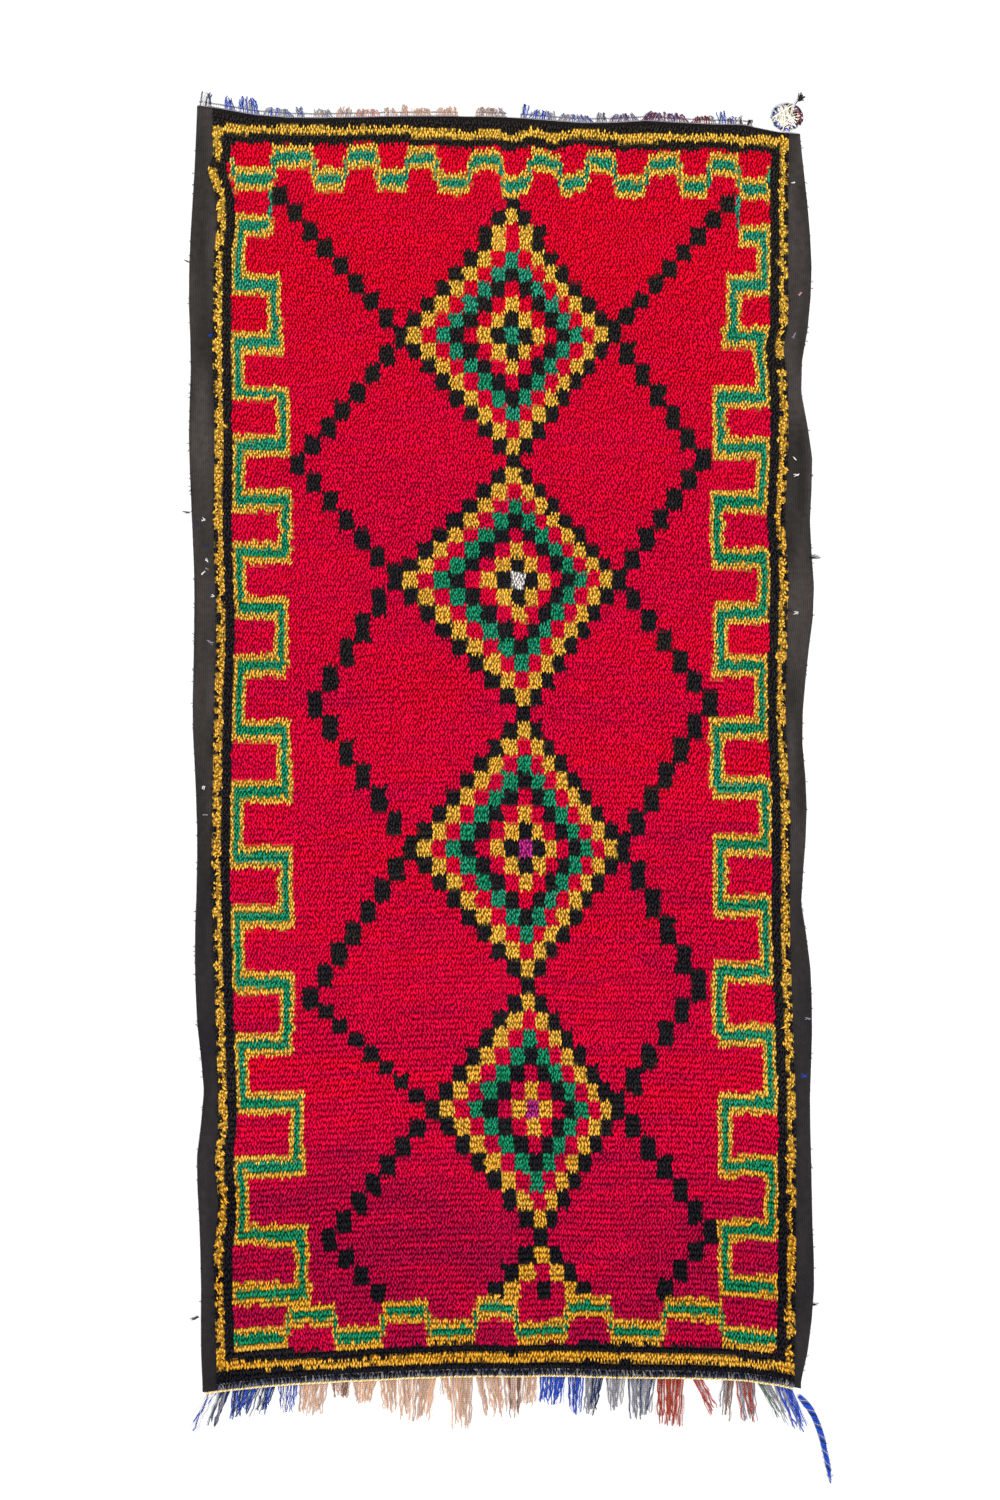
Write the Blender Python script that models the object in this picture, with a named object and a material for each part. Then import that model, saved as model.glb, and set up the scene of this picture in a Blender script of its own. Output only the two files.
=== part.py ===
"""Boucherouite pile rug, laid out flat: the knotted carpet with its flat side selvages, the cord twined
through its near warp ends, the near fringe, the worn web and stubs of the far end, the knotted far
corner and the long near tassel. Metres, +Z up, the underside on z = 0 and the origin at its middle."""

import math

import bmesh
import bpy

GAP = 0.0003  # clearance between pieces that touch

# Carpet
PILE = 0.0130  # height of the knotted field
SELVAGE = 0.0055  # height of the flat side selvages
SELVAGE_WIDTH = 0.051
PILE_STEP = 0.006  # width of the slope from selvage up to pile
WEB = 0.0040  # height of the flat weave at the near end
WEB_LENGTH = 0.009
END_SLOPE = 0.008  # width over which the pile rises at both ends
END_PILE = 0.0090  # height of the pile where it stops at the far end
FIELD_COLUMNS = 8  # steps between the selvage and the lengthwise fold, on each side
ALONG_ROWS = 38
NEAR_ROW = -1.53  # where along the rug the stations of the near and far edges are taken
FAR_ROW = 1.50
FOLD_HALF_WIDTH = 0.034  # the lengthwise fold down the middle
FOLD_DEPTH = 0.0032
RIPPLE = 0.0009  # gentle ripples across the length
RIPPLE_LENGTH = 0.46

# Ends
CORD_WIDTH = 0.0075
CORD_HEIGHT = 0.0062
CORD_FROM = -0.712
CORD_TO = 0.700
SPINE = 0.0045  # the strip that the near strands hang from
NEAR_STRAND = 0.024  # width of one tooth of the near comb
NEAR_THICK = 0.0055
FAR_GAP = 0.0009  # the far web runs straight between its stubs, so it keeps a little more room
FAR_WEB_WIDTH = 0.0104
FAR_STRAND = 0.018
FAR_THICK = 0.0050
TOOTH_TAPER = 0.72  # tip width over base width
TOOTH_STEPS = (0.0, 0.0, 0.55, 1.0)  # the spine's two rows, then shares of a tooth's length
TOOTH_SIDE = 0.75  # height of a tooth's sides over the height of its middle
TIP_DROP = 0.45  # how much thinner a tooth is at its tip
BUNCH_PULL = 0.22  # how far the tips of one bunch draw together

# The long edges. Columns: along the rug, left edge, right edge.
SIDES = (
    (1.545, -0.727, 0.716),
    (1.490, -0.732, 0.716),
    (1.360, -0.737, 0.731),
    (1.180, -0.748, 0.743),
    (1.040, -0.751, 0.734),
    (0.905, -0.746, 0.716),
    (0.730, -0.751, 0.744),
    (0.555, -0.745, 0.739),
    (0.380, -0.738, 0.749),
    (0.220, -0.739, 0.732),
    (0.050, -0.742, 0.720),
    (-0.100, -0.735, 0.731),
    (-0.240, -0.731, 0.727),
    (-0.365, -0.733, 0.718),
    (-0.490, -0.737, 0.738),
    (-0.670, -0.731, 0.744),
    (-0.840, -0.715, 0.739),
    (-0.990, -0.732, 0.742),
    (-1.140, -0.726, 0.745),
    (-1.290, -0.722, 0.749),
    (-1.450, -0.722, 0.734),
    (-1.555, -0.717, 0.712),
)

# The short edges. Columns: across the rug, near edge, far edge.
ENDS = (
    (-0.750, -1.556, 1.538),
    (-0.690, -1.546, 1.531),
    (-0.630, -1.538, 1.519),
    (-0.555, -1.531, 1.510),
    (-0.470, -1.525, 1.506),
    (-0.240, -1.513, 1.510),
    (-0.090, -1.508, 1.510),
    (0.030, -1.508, 1.507),
    (0.140, -1.506, 1.498),
    (0.240, -1.510, 1.493),
    (0.330, -1.511, 1.500),
    (0.475, -1.513, 1.492),
    (0.615, -1.520, 1.487),
    (0.665, -1.530, 1.472),
    (0.750, -1.549, 1.467),
)

# Bunches of the near fringe. Columns: from, to, sideways lean of the tips, length.
NEAR_BUNCHES = (
    (-0.707, -0.684, -0.050, 0.084),
    (-0.682, -0.650, -0.031, 0.080),
    (-0.648, -0.578, -0.018, 0.066),
    (-0.576, -0.542, -0.017, 0.065),
    (-0.540, -0.490, -0.003, 0.060),
    (-0.487, -0.414, -0.010, 0.072),
    (-0.412, -0.361, 0.000, 0.037),
    (-0.359, -0.299, -0.004, 0.051),
    (-0.297, -0.246, 0.006, 0.074),
    (-0.244, -0.155, -0.008, 0.096),
    (-0.148, -0.126, 0.012, 0.056),
    (-0.124, -0.068, 0.000, 0.117),
    (-0.062, 0.000, 0.013, 0.090),
    (0.003, 0.050, 0.000, 0.092),
    (0.052, 0.087, -0.006, 0.068),
    (0.090, 0.155, -0.006, 0.064),
    (0.157, 0.196, -0.004, 0.085),
    (0.198, 0.246, -0.010, 0.086),
    (0.248, 0.299, -0.004, 0.074),
    (0.301, 0.371, -0.004, 0.092),
    (0.373, 0.437, -0.006, 0.107),
    (0.457, 0.483, 0.040, 0.089),
    (0.528, 0.559, -0.010, 0.092),
    (0.562, 0.609, 0.012, 0.098),
    (0.613, 0.647, 0.046, 0.086),
    (0.650, 0.697, 0.042, 0.098),
)

# Stubs of worn warp on the three lengths of far web that are left. Columns: from, to, length.
FAR_STUBS = {
    "fringe_far_left": (
        (-0.728, -0.694, 0.026),
        (-0.668, -0.636, 0.023),
        (-0.634, -0.578, 0.029),
        (-0.574, -0.496, 0.010),
        (-0.494, -0.470, 0.016),
        (-0.454, -0.402, 0.011),
        (-0.400, -0.360, 0.016),
        (-0.358, -0.288, 0.009),
        (-0.286, -0.246, 0.011),
        (-0.244, -0.222, 0.017),
        (-0.220, -0.166, 0.009),
        (-0.160, -0.104, 0.013),
    ),
    "fringe_far_middle": ((-0.064, 0.013, 0.012),),
    "fringe_far_right": (
        (0.044, 0.060, 0.024),
        (0.062, 0.130, 0.013),
        (0.132, 0.222, 0.009),
        (0.224, 0.254, 0.017),
        (0.256, 0.330, 0.010),
        (0.332, 0.450, 0.013),
        (0.452, 0.516, 0.009),
        (0.518, 0.540, 0.022),
        (0.542, 0.562, 0.009),
        (0.564, 0.583, 0.015),
        (0.585, 0.603, 0.005),
    ),
}

# Knotted far corner: a flattened lump of warp ends and a thin stem that ends in a leaf of black pile.
KNOT_CENTRE = (0.684, 1.5085)
KNOT_RADII = (0.0385, 0.0335)
KNOT_HEIGHT = 0.022
KNOT_SECTORS = 18
KNOT_RINGS = ((0.42, 0.93), (0.76, 0.66), (1.0, 0.25))  # share of the radius, share of the height
KNOT_LOBES = ((3, 0.05, 0.8), (7, 0.03, 0.0))  # how many round the outline, how deep, turned by
KNOT_LUMPS = 0.14
LEAF_SECTOR = 3  # the sector of the lump that the stem leaves from
LEAF_ACROSS = (0.75, -0.65)  # direction from the left side of the stem to its right
# Columns: x, y, half width, height.
LEAF = (
    (0.7035, 1.5400, 0.0022, 0.0060),
    (0.7100, 1.5480, 0.0016, 0.0050),
    (0.7165, 1.5560, 0.0052, 0.0070),
    (0.7215, 1.5620, 0.0060, 0.0070),
    (0.7255, 1.5668, 0.0022, 0.0035),
)

# Long tassel of the near corner. Columns: x, y, half width, height.
TASSEL = (
    (0.7130, -1.5600, 0.0056, 0.0060),
    (0.7260, -1.5740, 0.0082, 0.0080),
    (0.7380, -1.5890, 0.0086, 0.0085),
    (0.7500, -1.6100, 0.0078, 0.0080),
    (0.7600, -1.6340, 0.0084, 0.0080),
    (0.7700, -1.6680, 0.0082, 0.0075),
    (0.7770, -1.7000, 0.0066, 0.0065),
    (0.7825, -1.7280, 0.0070, 0.0060),
    (0.7860, -1.7500, 0.0040, 0.0050),
    (0.7885, -1.7680, 0.0024, 0.0035),
)

RED_WOOL = (0.62, 0.003, 0.032)
CREAM_YARN = (0.55, 0.47, 0.30)
TAUPE_WARP = (0.38, 0.24, 0.17)
GREY_WARP = (0.42, 0.40, 0.38)
BLUE_YARN = (0.012, 0.045, 0.28)
NAVY_YARN = (0.02, 0.03, 0.08)


def through(table, column, at):
    """A smooth curve through one column of a table: cubic steps, with slopes taken from the rows around."""
    rows = sorted(table)
    at = min(max(at, rows[0][0]), rows[-1][0])
    last = len(rows) - 1
    k = max(i for i in range(last) if rows[i][0] <= at)
    before, low, high, after = (rows[max(k - 1, 0)], rows[k], rows[k + 1], rows[min(k + 2, last)])
    span = high[0] - low[0]
    slope_low = (high[column] - before[column]) / (high[0] - before[0]) * span
    slope_high = (after[column] - low[column]) / (after[0] - low[0]) * span
    t = (at - low[0]) / span
    return (
        low[column] * (2 * t**3 - 3 * t**2 + 1)
        + slope_low * (t**3 - 2 * t**2 + t)
        + high[column] * (3 * t**2 - 2 * t**3)
        + slope_high * (t**3 - t**2)
    )


def blend(a, b, share):
    return a + (b - a) * share


def wobble(k, turns=0.37):
    """A number from -1 to 1 that changes from one k to the next, the same each run."""
    return math.sin(12.9 * k + turns) * math.cos(5.3 * k * turns)


def columns(along):
    """The x stations across the rug at one place along it."""
    left = through(SIDES, 1, along)
    right = through(SIDES, 2, along)
    field_left = left + SELVAGE_WIDTH + PILE_STEP
    field_right = right - SELVAGE_WIDTH - PILE_STEP
    steps = [k / FIELD_COLUMNS for k in range(FIELD_COLUMNS + 1)]
    return (
        [left, left + SELVAGE_WIDTH]
        + [blend(field_left, -FOLD_HALF_WIDTH, s) for s in steps]
        + [0.0]
        + [blend(FOLD_HALF_WIDTH, field_right, s) for s in steps]
        + [right - SELVAGE_WIDTH, right]
    )


def edge_line(column):
    """The straight runs of the carpet's short edge, as a function of x. Column 1 is near, 2 is far."""
    stations = columns(NEAR_ROW if column == 1 else FAR_ROW)
    heights = [through(ENDS, column, x) for x in stations]

    def at(x):
        k = max([i for i in range(len(stations) - 1) if stations[i] <= x] or [0])
        share = (x - stations[k]) / (stations[k + 1] - stations[k])
        return blend(heights[k], heights[k + 1], share)

    return at


near_edge = edge_line(1)
far_edge = edge_line(2)


def cloth_material(name, colour, roughness):
    material = bpy.data.materials.new(name)
    material.use_nodes = True
    shader = material.node_tree.nodes["Principled BSDF"]
    shader.inputs["Base Color"].default_value = (*colour, 1.0)
    shader.inputs["Roughness"].default_value = roughness
    shader.inputs["Metallic"].default_value = 0.0
    return material


def slab(name, points, faces, colour, roughness=0.95):
    """A closed piece that lies flat on z = 0: (x, y, height) points joined into faces seen from above,
    the same faces turned down on z = 0, and a wall along every open edge."""
    work = bmesh.new()
    upper = [work.verts.new((x, y, height)) for x, y, height in points]
    lower = [work.verts.new((x, y, 0.0)) for x, y, height in points]
    edges = set()
    for face in faces:
        work.faces.new([upper[i] for i in face])
        work.faces.new([lower[i] for i in reversed(face)])
        edges.update(zip(face, face[1:] + face[:1]))
    for i, j in sorted(edges):
        if (j, i) not in edges:
            work.faces.new([upper[j], upper[i], lower[i], lower[j]])
    mesh = bpy.data.meshes.new(name)
    work.to_mesh(mesh)
    work.free()
    mesh.materials.append(cloth_material(name, colour, roughness))
    piece = bpy.data.objects.new(name, mesh)
    bpy.context.scene.collection.objects.link(piece)
    return piece


def lattice(rows, across):
    """Faces that join rows of points, each row running to the right and the next row above it."""
    return [
        (r * across + c, r * across + c + 1, (r + 1) * across + c + 1, (r + 1) * across + c)
        for r in range(rows - 1)
        for c in range(across - 1)
    ]


def cover_height(x, y, column, count):
    """Pile with its lengthwise fold and cross ripples, or the flat selvage in the outer two columns."""
    if column in (0, 1, count - 2, count - 1):
        return SELVAGE
    fold = FOLD_DEPTH * math.exp(-((x / FOLD_HALF_WIDTH) ** 2) * 2.0)
    ripple = RIPPLE * math.sin(math.tau * y / RIPPLE_LENGTH + 2.2 * x)
    return PILE - fold + ripple


def rug_body():
    """The carpet: rows run from the near edge to the far one and follow both."""
    near_steps = (0.0, WEB_LENGTH, WEB_LENGTH + END_SLOPE)
    points = []
    rows = len(near_steps) + ALONG_ROWS + 1
    for r in range(rows):
        share = max(0.0, (r - len(near_steps) + 1) / (ALONG_ROWS + 1))
        stations = columns(blend(NEAR_ROW, FAR_ROW, share))
        for c, x in enumerate(stations):
            foot = near_edge(x) + near_steps[min(r, len(near_steps) - 1)]
            y = foot if r < len(near_steps) else blend(foot, far_edge(x) - END_SLOPE, share)
            height = cover_height(x, y, c, len(stations))
            if r < 2:
                height = WEB
            points.append((x, y, height))
    stations = columns(FAR_ROW)
    for c, x in enumerate(stations):
        height = min(END_PILE, cover_height(x, far_edge(x), c, len(stations)))
        points.append((x, far_edge(x), height))
    return slab("rug_body", points, lattice(rows + 1, len(stations)), RED_WOOL)


def ribbon(name, path, colour):
    """A crowned strip along a path of (x, y, half width, height) sections, square to its run."""
    points = []
    for k, (x, y, half, height) in enumerate(path):
        x_after, y_after = path[min(k + 1, len(path) - 1)][:2]
        x_before, y_before = path[max(k - 1, 0)][:2]
        run = math.hypot(x_after - x_before, y_after - y_before)
        side_x = -(y_after - y_before) / run * half
        side_y = (x_after - x_before) / run * half
        points.append((x + side_x, y + side_y, height * 0.5))
        points.append((x, y, height))
        points.append((x - side_x, y - side_y, height * 0.5))
    return slab(name, points, lattice(len(path), 3), colour)


def end_cord():
    """The cord twined through the near warp ends, from corner to corner."""
    between = [x for x in columns(NEAR_ROW) if CORD_FROM < x < CORD_TO]
    stations = [CORD_FROM] + between + [CORD_TO]
    offsets = ((CORD_WIDTH, 0.5), (CORD_WIDTH / 2, 1.0), (0.0, 0.5))
    points = [
        (x, near_edge(x) - GAP - offset, CORD_HEIGHT * share)
        for offset, share in offsets
        for x in stations
    ]
    return slab("end_cord", points, lattice(len(offsets), len(stations)), CREAM_YARN)


def teeth_of(bunches, width):
    """Each bunch split into even teeth of about one width: (from, to, tip from, tip to, length)."""
    teeth = []
    for start, end, lean, length in bunches:
        count = max(1, round((end - start) / width))
        middle = (start + end) / 2
        for k in range(count):
            low = blend(start, end, k / count) + GAP
            high = blend(start, end, (k + 1) / count) - GAP
            centre = blend((low + high) / 2, middle, BUNCH_PULL) + lean
            half = (high - low) / 2 * TOOTH_TAPER
            reach = length * (0.90 + 0.10 * wobble(len(teeth)))
            teeth.append((low, high, centre - half, centre + half, reach))
    return teeth


def comb(name, teeth, edge, side, start, spine, thick, colour):
    """A strip beside an edge line and the teeth that leave it, joined to each other along the strip only.
    Side is 1 for the far end and -1 for the near."""
    points = []
    faces = []
    for k, (low, high, tip_low, tip_high, reach) in enumerate(teeth):
        first = len(points)
        across = ((low, tip_low), ((low + high) / 2, (tip_low + tip_high) / 2), (high, tip_high))
        for row, depth in enumerate(TOOTH_STEPS):
            for place, (x_base, x_tip) in enumerate(across):
                x = blend(x_base, x_tip, depth)
                away = start if row == 0 else start + spine + reach * depth
                crown = 1.0 if place == 1 else TOOTH_SIDE
                points.append((x, edge(x_base) + side * away, thick * crown * (1.0 - TIP_DROP * depth)))
        faces += [tuple(first + i for i in face) for face in lattice(len(TOOTH_STEPS), len(across))]
        if k:
            corner = first - len(TOOTH_STEPS) * len(across) + len(across) - 1
            faces.append((corner, first, first + len(across), corner + len(across)))
    if side < 0:
        faces = [tuple(reversed(face)) for face in faces]
    return slab(name, points, faces, colour)


def fringe_near():
    teeth = teeth_of(NEAR_BUNCHES, NEAR_STRAND)
    return comb("fringe_near", teeth, near_edge, -1, 2 * GAP + CORD_WIDTH, SPINE, NEAR_THICK, TAUPE_WARP)


def fringe_far():
    for name, stubs in FAR_STUBS.items():
        teeth = teeth_of([(start, end, 0.0, length) for start, end, length in stubs], FAR_STRAND)
        comb(name, teeth, far_edge, 1, FAR_GAP, FAR_WEB_WIDTH, FAR_THICK, GREY_WARP)


def corner_knot():
    """Rings of points round the lump, and the stem and leaf let into its rim between two sectors."""
    points = [(*KNOT_CENTRE, KNOT_HEIGHT)]
    for share, lift in KNOT_RINGS:
        for k in range(KNOT_SECTORS):
            turn = math.tau * k / KNOT_SECTORS
            reach = share * (1.0 + sum(deep * math.cos(n * turn + by) for n, deep, by in KNOT_LOBES))
            lump = 1.0 + KNOT_LUMPS * wobble(k, share)
            x = KNOT_CENTRE[0] + KNOT_RADII[0] * reach * math.cos(turn)
            y = KNOT_CENTRE[1] + KNOT_RADII[1] * reach * math.sin(turn)
            points.append((x, y, KNOT_HEIGHT * lift * lump))
    faces = []
    for k in range(KNOT_SECTORS):
        after = (k + 1) % KNOT_SECTORS
        faces.append((0, 1 + k, 1 + after))
        for ring in range(len(KNOT_RINGS) - 1):
            inner = 1 + ring * KNOT_SECTORS
            outer = inner + KNOT_SECTORS
            faces.append((inner + k, outer + k, outer + after, inner + after))
    rim = 1 + (len(KNOT_RINGS) - 1) * KNOT_SECTORS
    right, left = rim + LEAF_SECTOR, rim + LEAF_SECTOR + 1
    for x, y, half, height in LEAF:
        side_x, side_y = half * LEAF_ACROSS[0], half * LEAF_ACROSS[1]
        points.append((x + side_x, y + side_y, height))
        points.append((x - side_x, y - side_y, height))
        faces.append((right, len(points) - 2, len(points) - 1, left))
        right, left = len(points) - 2, len(points) - 1
    return slab("corner_knot", points, faces, NAVY_YARN)


def build():
    for old in list(bpy.data.objects):
        bpy.data.objects.remove(old, do_unlink=True)
    rug_body()
    end_cord()
    fringe_near()
    fringe_far()
    corner_knot()
    ribbon("corner_tassel", TASSEL, BLUE_YARN)


build()
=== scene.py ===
# %% [markdown]
# # A boucherouite pile rug, laid out flat
#
# The real rug is knotted by hand: rows of wool knots on a woven ground, a flat selvage down both sides,
# a cord twined through the near warp ends and loose warp for a fringe. A flat picture on a slab would
# show none of that from the side, so here every half knot is a small closed strand of wool, about
# eighty thousand of them, worked out as whole arrays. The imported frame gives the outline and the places.

import bpy
import numpy as np
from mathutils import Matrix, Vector
from mathutils.bvhtree import BVHTree


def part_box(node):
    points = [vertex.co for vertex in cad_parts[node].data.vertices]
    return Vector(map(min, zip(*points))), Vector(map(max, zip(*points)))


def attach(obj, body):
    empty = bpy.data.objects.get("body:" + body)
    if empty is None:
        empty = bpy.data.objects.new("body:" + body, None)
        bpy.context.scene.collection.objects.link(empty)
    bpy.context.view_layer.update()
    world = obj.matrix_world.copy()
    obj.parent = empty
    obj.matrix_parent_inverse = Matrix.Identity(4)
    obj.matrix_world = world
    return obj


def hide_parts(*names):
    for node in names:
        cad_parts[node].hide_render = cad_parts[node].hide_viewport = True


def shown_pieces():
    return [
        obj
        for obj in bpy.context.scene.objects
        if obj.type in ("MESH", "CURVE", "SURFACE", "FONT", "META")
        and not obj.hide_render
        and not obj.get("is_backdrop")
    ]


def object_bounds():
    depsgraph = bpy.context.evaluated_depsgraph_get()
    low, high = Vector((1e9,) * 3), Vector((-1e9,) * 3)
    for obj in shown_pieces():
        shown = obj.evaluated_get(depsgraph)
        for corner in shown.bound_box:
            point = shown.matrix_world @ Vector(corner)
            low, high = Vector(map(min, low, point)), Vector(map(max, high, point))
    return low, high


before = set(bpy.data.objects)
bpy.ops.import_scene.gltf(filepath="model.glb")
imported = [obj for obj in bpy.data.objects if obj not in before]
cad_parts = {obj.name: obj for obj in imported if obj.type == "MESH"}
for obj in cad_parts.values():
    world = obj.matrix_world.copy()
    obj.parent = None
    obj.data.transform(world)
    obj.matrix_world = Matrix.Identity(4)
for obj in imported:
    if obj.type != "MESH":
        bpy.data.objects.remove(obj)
cad_low, cad_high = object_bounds()
print("frame:", sorted(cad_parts), "box", tuple(cad_low), tuple(cad_high))

# %% [markdown]
# ## The camera, the light and the floor
#
# The rug is seen from straight above, so the camera hangs over its middle with a long lens, which keeps
# the edges from leaning. A bright even sky with one soft sun from the upper left is the plain studio
# light: the sky fills the pile and the sun gives each tuft a light side and a dark side.

# %% Set up the camera, the light and the floor
VIEW_CENTRE = (-0.0048, -0.0096)
VIEW_LENGTH = 3.6  # metres of floor seen along the rug
CAMERA_HEIGHT = 9.0
SENSOR = 36.0
SUN_TILT = (0.75, 0.0, 0.62)
FLOOR_SIZE = 14.0


def hex_colour(text):
    """A colour written as six hex digits, turned from display values into the linear ones that light uses."""
    shown = np.array([int(text[i:i + 2], 16) for i in (0, 2, 4)]) / 255.0
    return np.where(shown <= 0.04045, shown / 12.92, ((shown + 0.055) / 1.055) ** 2.4)


def set_studio():
    """Camera, world, sun and floor. The lens is the height over the view's length, times the sensor."""
    scene = bpy.context.scene
    scene.view_settings.view_transform = "Standard"
    lens = bpy.data.cameras.new("overhead_camera")
    lens.sensor_width = SENSOR
    lens.lens = SENSOR * CAMERA_HEIGHT / VIEW_LENGTH
    camera = bpy.data.objects.new("overhead_camera", lens)
    camera.location = (*VIEW_CENTRE, CAMERA_HEIGHT)
    scene.collection.objects.link(camera)
    scene.camera = camera
    world = bpy.data.worlds.new("studio_sky")
    world.use_nodes = True
    sky = world.node_tree.nodes["Background"]
    sky.inputs["Color"].default_value = (1.0, 1.0, 1.0, 1.0)
    sky.inputs["Strength"].default_value = 1.15
    scene.world = world
    sun_light = bpy.data.lights.new("soft_sun", "SUN")
    sun_light.energy = 2.1
    sun_light.angle = 0.30
    sun = bpy.data.objects.new("soft_sun", sun_light)
    sun.rotation_euler = SUN_TILT
    scene.collection.objects.link(sun)
    half = FLOOR_SIZE / 2
    mesh = bpy.data.meshes.new("floor")
    mesh.from_pydata([(-half, -half, -0.0004), (half, -half, -0.0004), (half, half, -0.0004),
                      (-half, half, -0.0004)], [], [(0, 1, 2, 3)])
    paint = bpy.data.materials.new("pale_floor")
    paint.use_nodes = True
    shader = paint.node_tree.nodes["Principled BSDF"]
    shader.inputs["Base Color"].default_value = (0.80, 0.80, 0.80, 1.0)
    shader.inputs["Roughness"].default_value = 0.9
    shader.inputs["Specular IOR Level"].default_value = 0.0
    mesh.materials.append(paint)
    floor = bpy.data.objects.new("floor", mesh)
    scene.collection.objects.link(floor)
    floor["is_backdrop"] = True
    return lens.lens


print("lens", set_studio(), "mm")

# %% [markdown]
# ## The outline, read from the carpet's solid
#
# The rug was never square: its sides wander by a finger's width and its ends bow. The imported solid
# already has that outline, so level rays that meet it from the left, the right, near and far give the
# four edges, and nothing has to be fitted by eye. A ray counts only where it meets the wall it aims at,
# not the wall round the corner.

# %% Find the four edges with level rays
RAY_HEIGHT = 0.002
RAY_REACH = 0.10
STATIONS = 500
CORNER = 0.7  # least share of a wall's normal that faces the ray

carpet_tree = BVHTree.FromObject(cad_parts["rug_body"], bpy.context.evaluated_depsgraph_get())


def edge_met(axis, way):
    """Places along the other axis and where level rays along this axis (0 is x, 1 is y) meet the carpet."""
    low, high = (np.array(corner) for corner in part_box("rug_body"))
    wall = low[axis] if way > 0 else high[axis]
    other = 1 - axis
    places, met = [], []
    for place in np.linspace(low[other] + RAY_HEIGHT, high[other] - RAY_HEIGHT, STATIONS):
        start = np.array([place, place, RAY_HEIGHT])
        start[axis] = wall - way * RAY_REACH
        heading = np.zeros(3)
        heading[axis] = way
        hit, normal, _, _ = carpet_tree.ray_cast(Vector(start), Vector(heading), 2 * RAY_REACH)
        if hit is not None and -way * normal[axis] > CORNER:
            places.append(place)
            met.append(hit[axis])
    return np.array(places), np.array(met)


LEFT, RIGHT, NEAR, FAR = edge_met(0, 1), edge_met(0, -1), edge_met(1, 1), edge_met(1, -1)


def left_edge(y):
    return np.interp(y, *LEFT)


def right_edge(y):
    return np.interp(y, *RIGHT)


def near_end(x):
    return np.interp(x, *NEAR)


def far_end(x):
    return np.interp(x, *FAR)


CLOTH_WIDTH = float((right_edge(FAR[0]) - left_edge(FAR[0])).mean())
CLOTH_LENGTH = float((FAR[1].mean() - NEAR[1].mean()))
print(f"cloth {CLOTH_WIDTH:.3f} by {CLOTH_LENGTH:.3f} m")

# %% [markdown]
# ## Small tools for whole arrays
#
# Three helpers do most of the work. One draws a smooth curve through the rows of a short table, one
# makes soft random patches such as a dyer's uneven batches, and one walks a share along and a share
# across the crooked cloth and says where that is in metres.

# %% Helpers: curves through tables, patches, places on the cloth


def blend(a, b, share):
    return a + (b - a) * share


def ease(t):
    """A share from 0 to 1 that starts and ends level: three times its square less twice its cube."""
    t = np.clip(t, 0.0, 1.0)
    return t * t * (3.0 - 2.0 * t)


def through(table, column, at):
    """A smooth curve through one column of a table: cubic steps, with slopes taken from the rows around."""
    rows = np.array(sorted(table), float)
    place, value, last = rows[:, 0], rows[:, column], len(rows) - 1
    at = np.clip(at, place[0], place[-1])
    k = np.clip(np.searchsorted(place, at, side="right") - 1, 0, last - 1)
    before, after = np.maximum(k - 1, 0), np.minimum(k + 2, last)
    span = place[k + 1] - place[k]
    slope_low = (value[k + 1] - value[before]) / (place[k + 1] - place[before]) * span
    slope_high = (value[after] - value[k]) / (place[after] - place[k]) * span
    t = (at - place[k]) / span
    return (
        value[k] * (2 * t**3 - 3 * t**2 + 1)
        + slope_low * (t**3 - 2 * t**2 + t)
        + value[k + 1] * (3 * t**2 - 2 * t**3)
        + slope_high * (t**3 - t**2)
    )


PATCH_GRID = 101


def patches(x, y, size_x, size_y, seed):
    """Soft patches from 0 to 1: random heights on a lattice of that spacing, eased from one to the next."""
    heights = np.random.default_rng(seed).random((PATCH_GRID, PATCH_GRID))
    u, v = x / size_x, y / size_y
    i, j = np.floor(u).astype(int), np.floor(v).astype(int)
    s, t = ease(u - i), ease(v - j)

    def corner(di, dj):
        return heights[(i + di) % PATCH_GRID, (j + dj) % PATCH_GRID]

    return blend(blend(corner(0, 0), corner(1, 0), s), blend(corner(0, 1), corner(1, 1), s), t)


def on_cloth(along, across, left, right, near, far):
    """Shares along and across to metres. x comes from the sides at y and y from the ends at x, by turns."""
    y = blend(NEAR[1].mean(), FAR[1].mean(), along)
    for _ in range(4):
        x = blend(left(y), right(y), across)
        y = blend(near(x), far(x), along)
    return x, y


print("patches at the origin:", float(patches(np.zeros(1), np.zeros(1), 0.1, 0.1, 1)[0]))

# %% [markdown]
# ## The design
#
# The weaver worked from memory and counted knots: a black and yellow frame, a green meander bordered in
# yellow that climbs both sides, a stepped border at each end, four and a half stepped lozenges on the
# centre line and two chains of black blocks that zigzag beside them. All of it is traditional, and all
# of it is a rule: a band is a distance from a line, a lozenge is a count of steps across plus steps
# along. So the design is one function from a place on the cloth to a yarn. The tables hold only where
# each band, bar and lozenge was really knotted, because the weaver's rows drifted.

# %% Yarns and the frame of two black bands round a yellow line
YARNS = ("black", "red", "yellow", "green", "pink", "white", "salmon", "blue", "grey")
BLACK, RED, YELLOW, GREEN, PINK, WHITE, SALMON, BLUE, GREY = range(len(YARNS))

LINE_HALF = 0.0098  # half the width of the yellow frame line
SIDE_LINE_HALF = 0.0088
SIDE_BAND = 0.0315  # from the side line's middle to the inner edge of the black band
FAR_BAND = (0.034, 0.027)  # the same below the far line, at its left and its right end
NEAR_BAND = 0.0335
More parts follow.
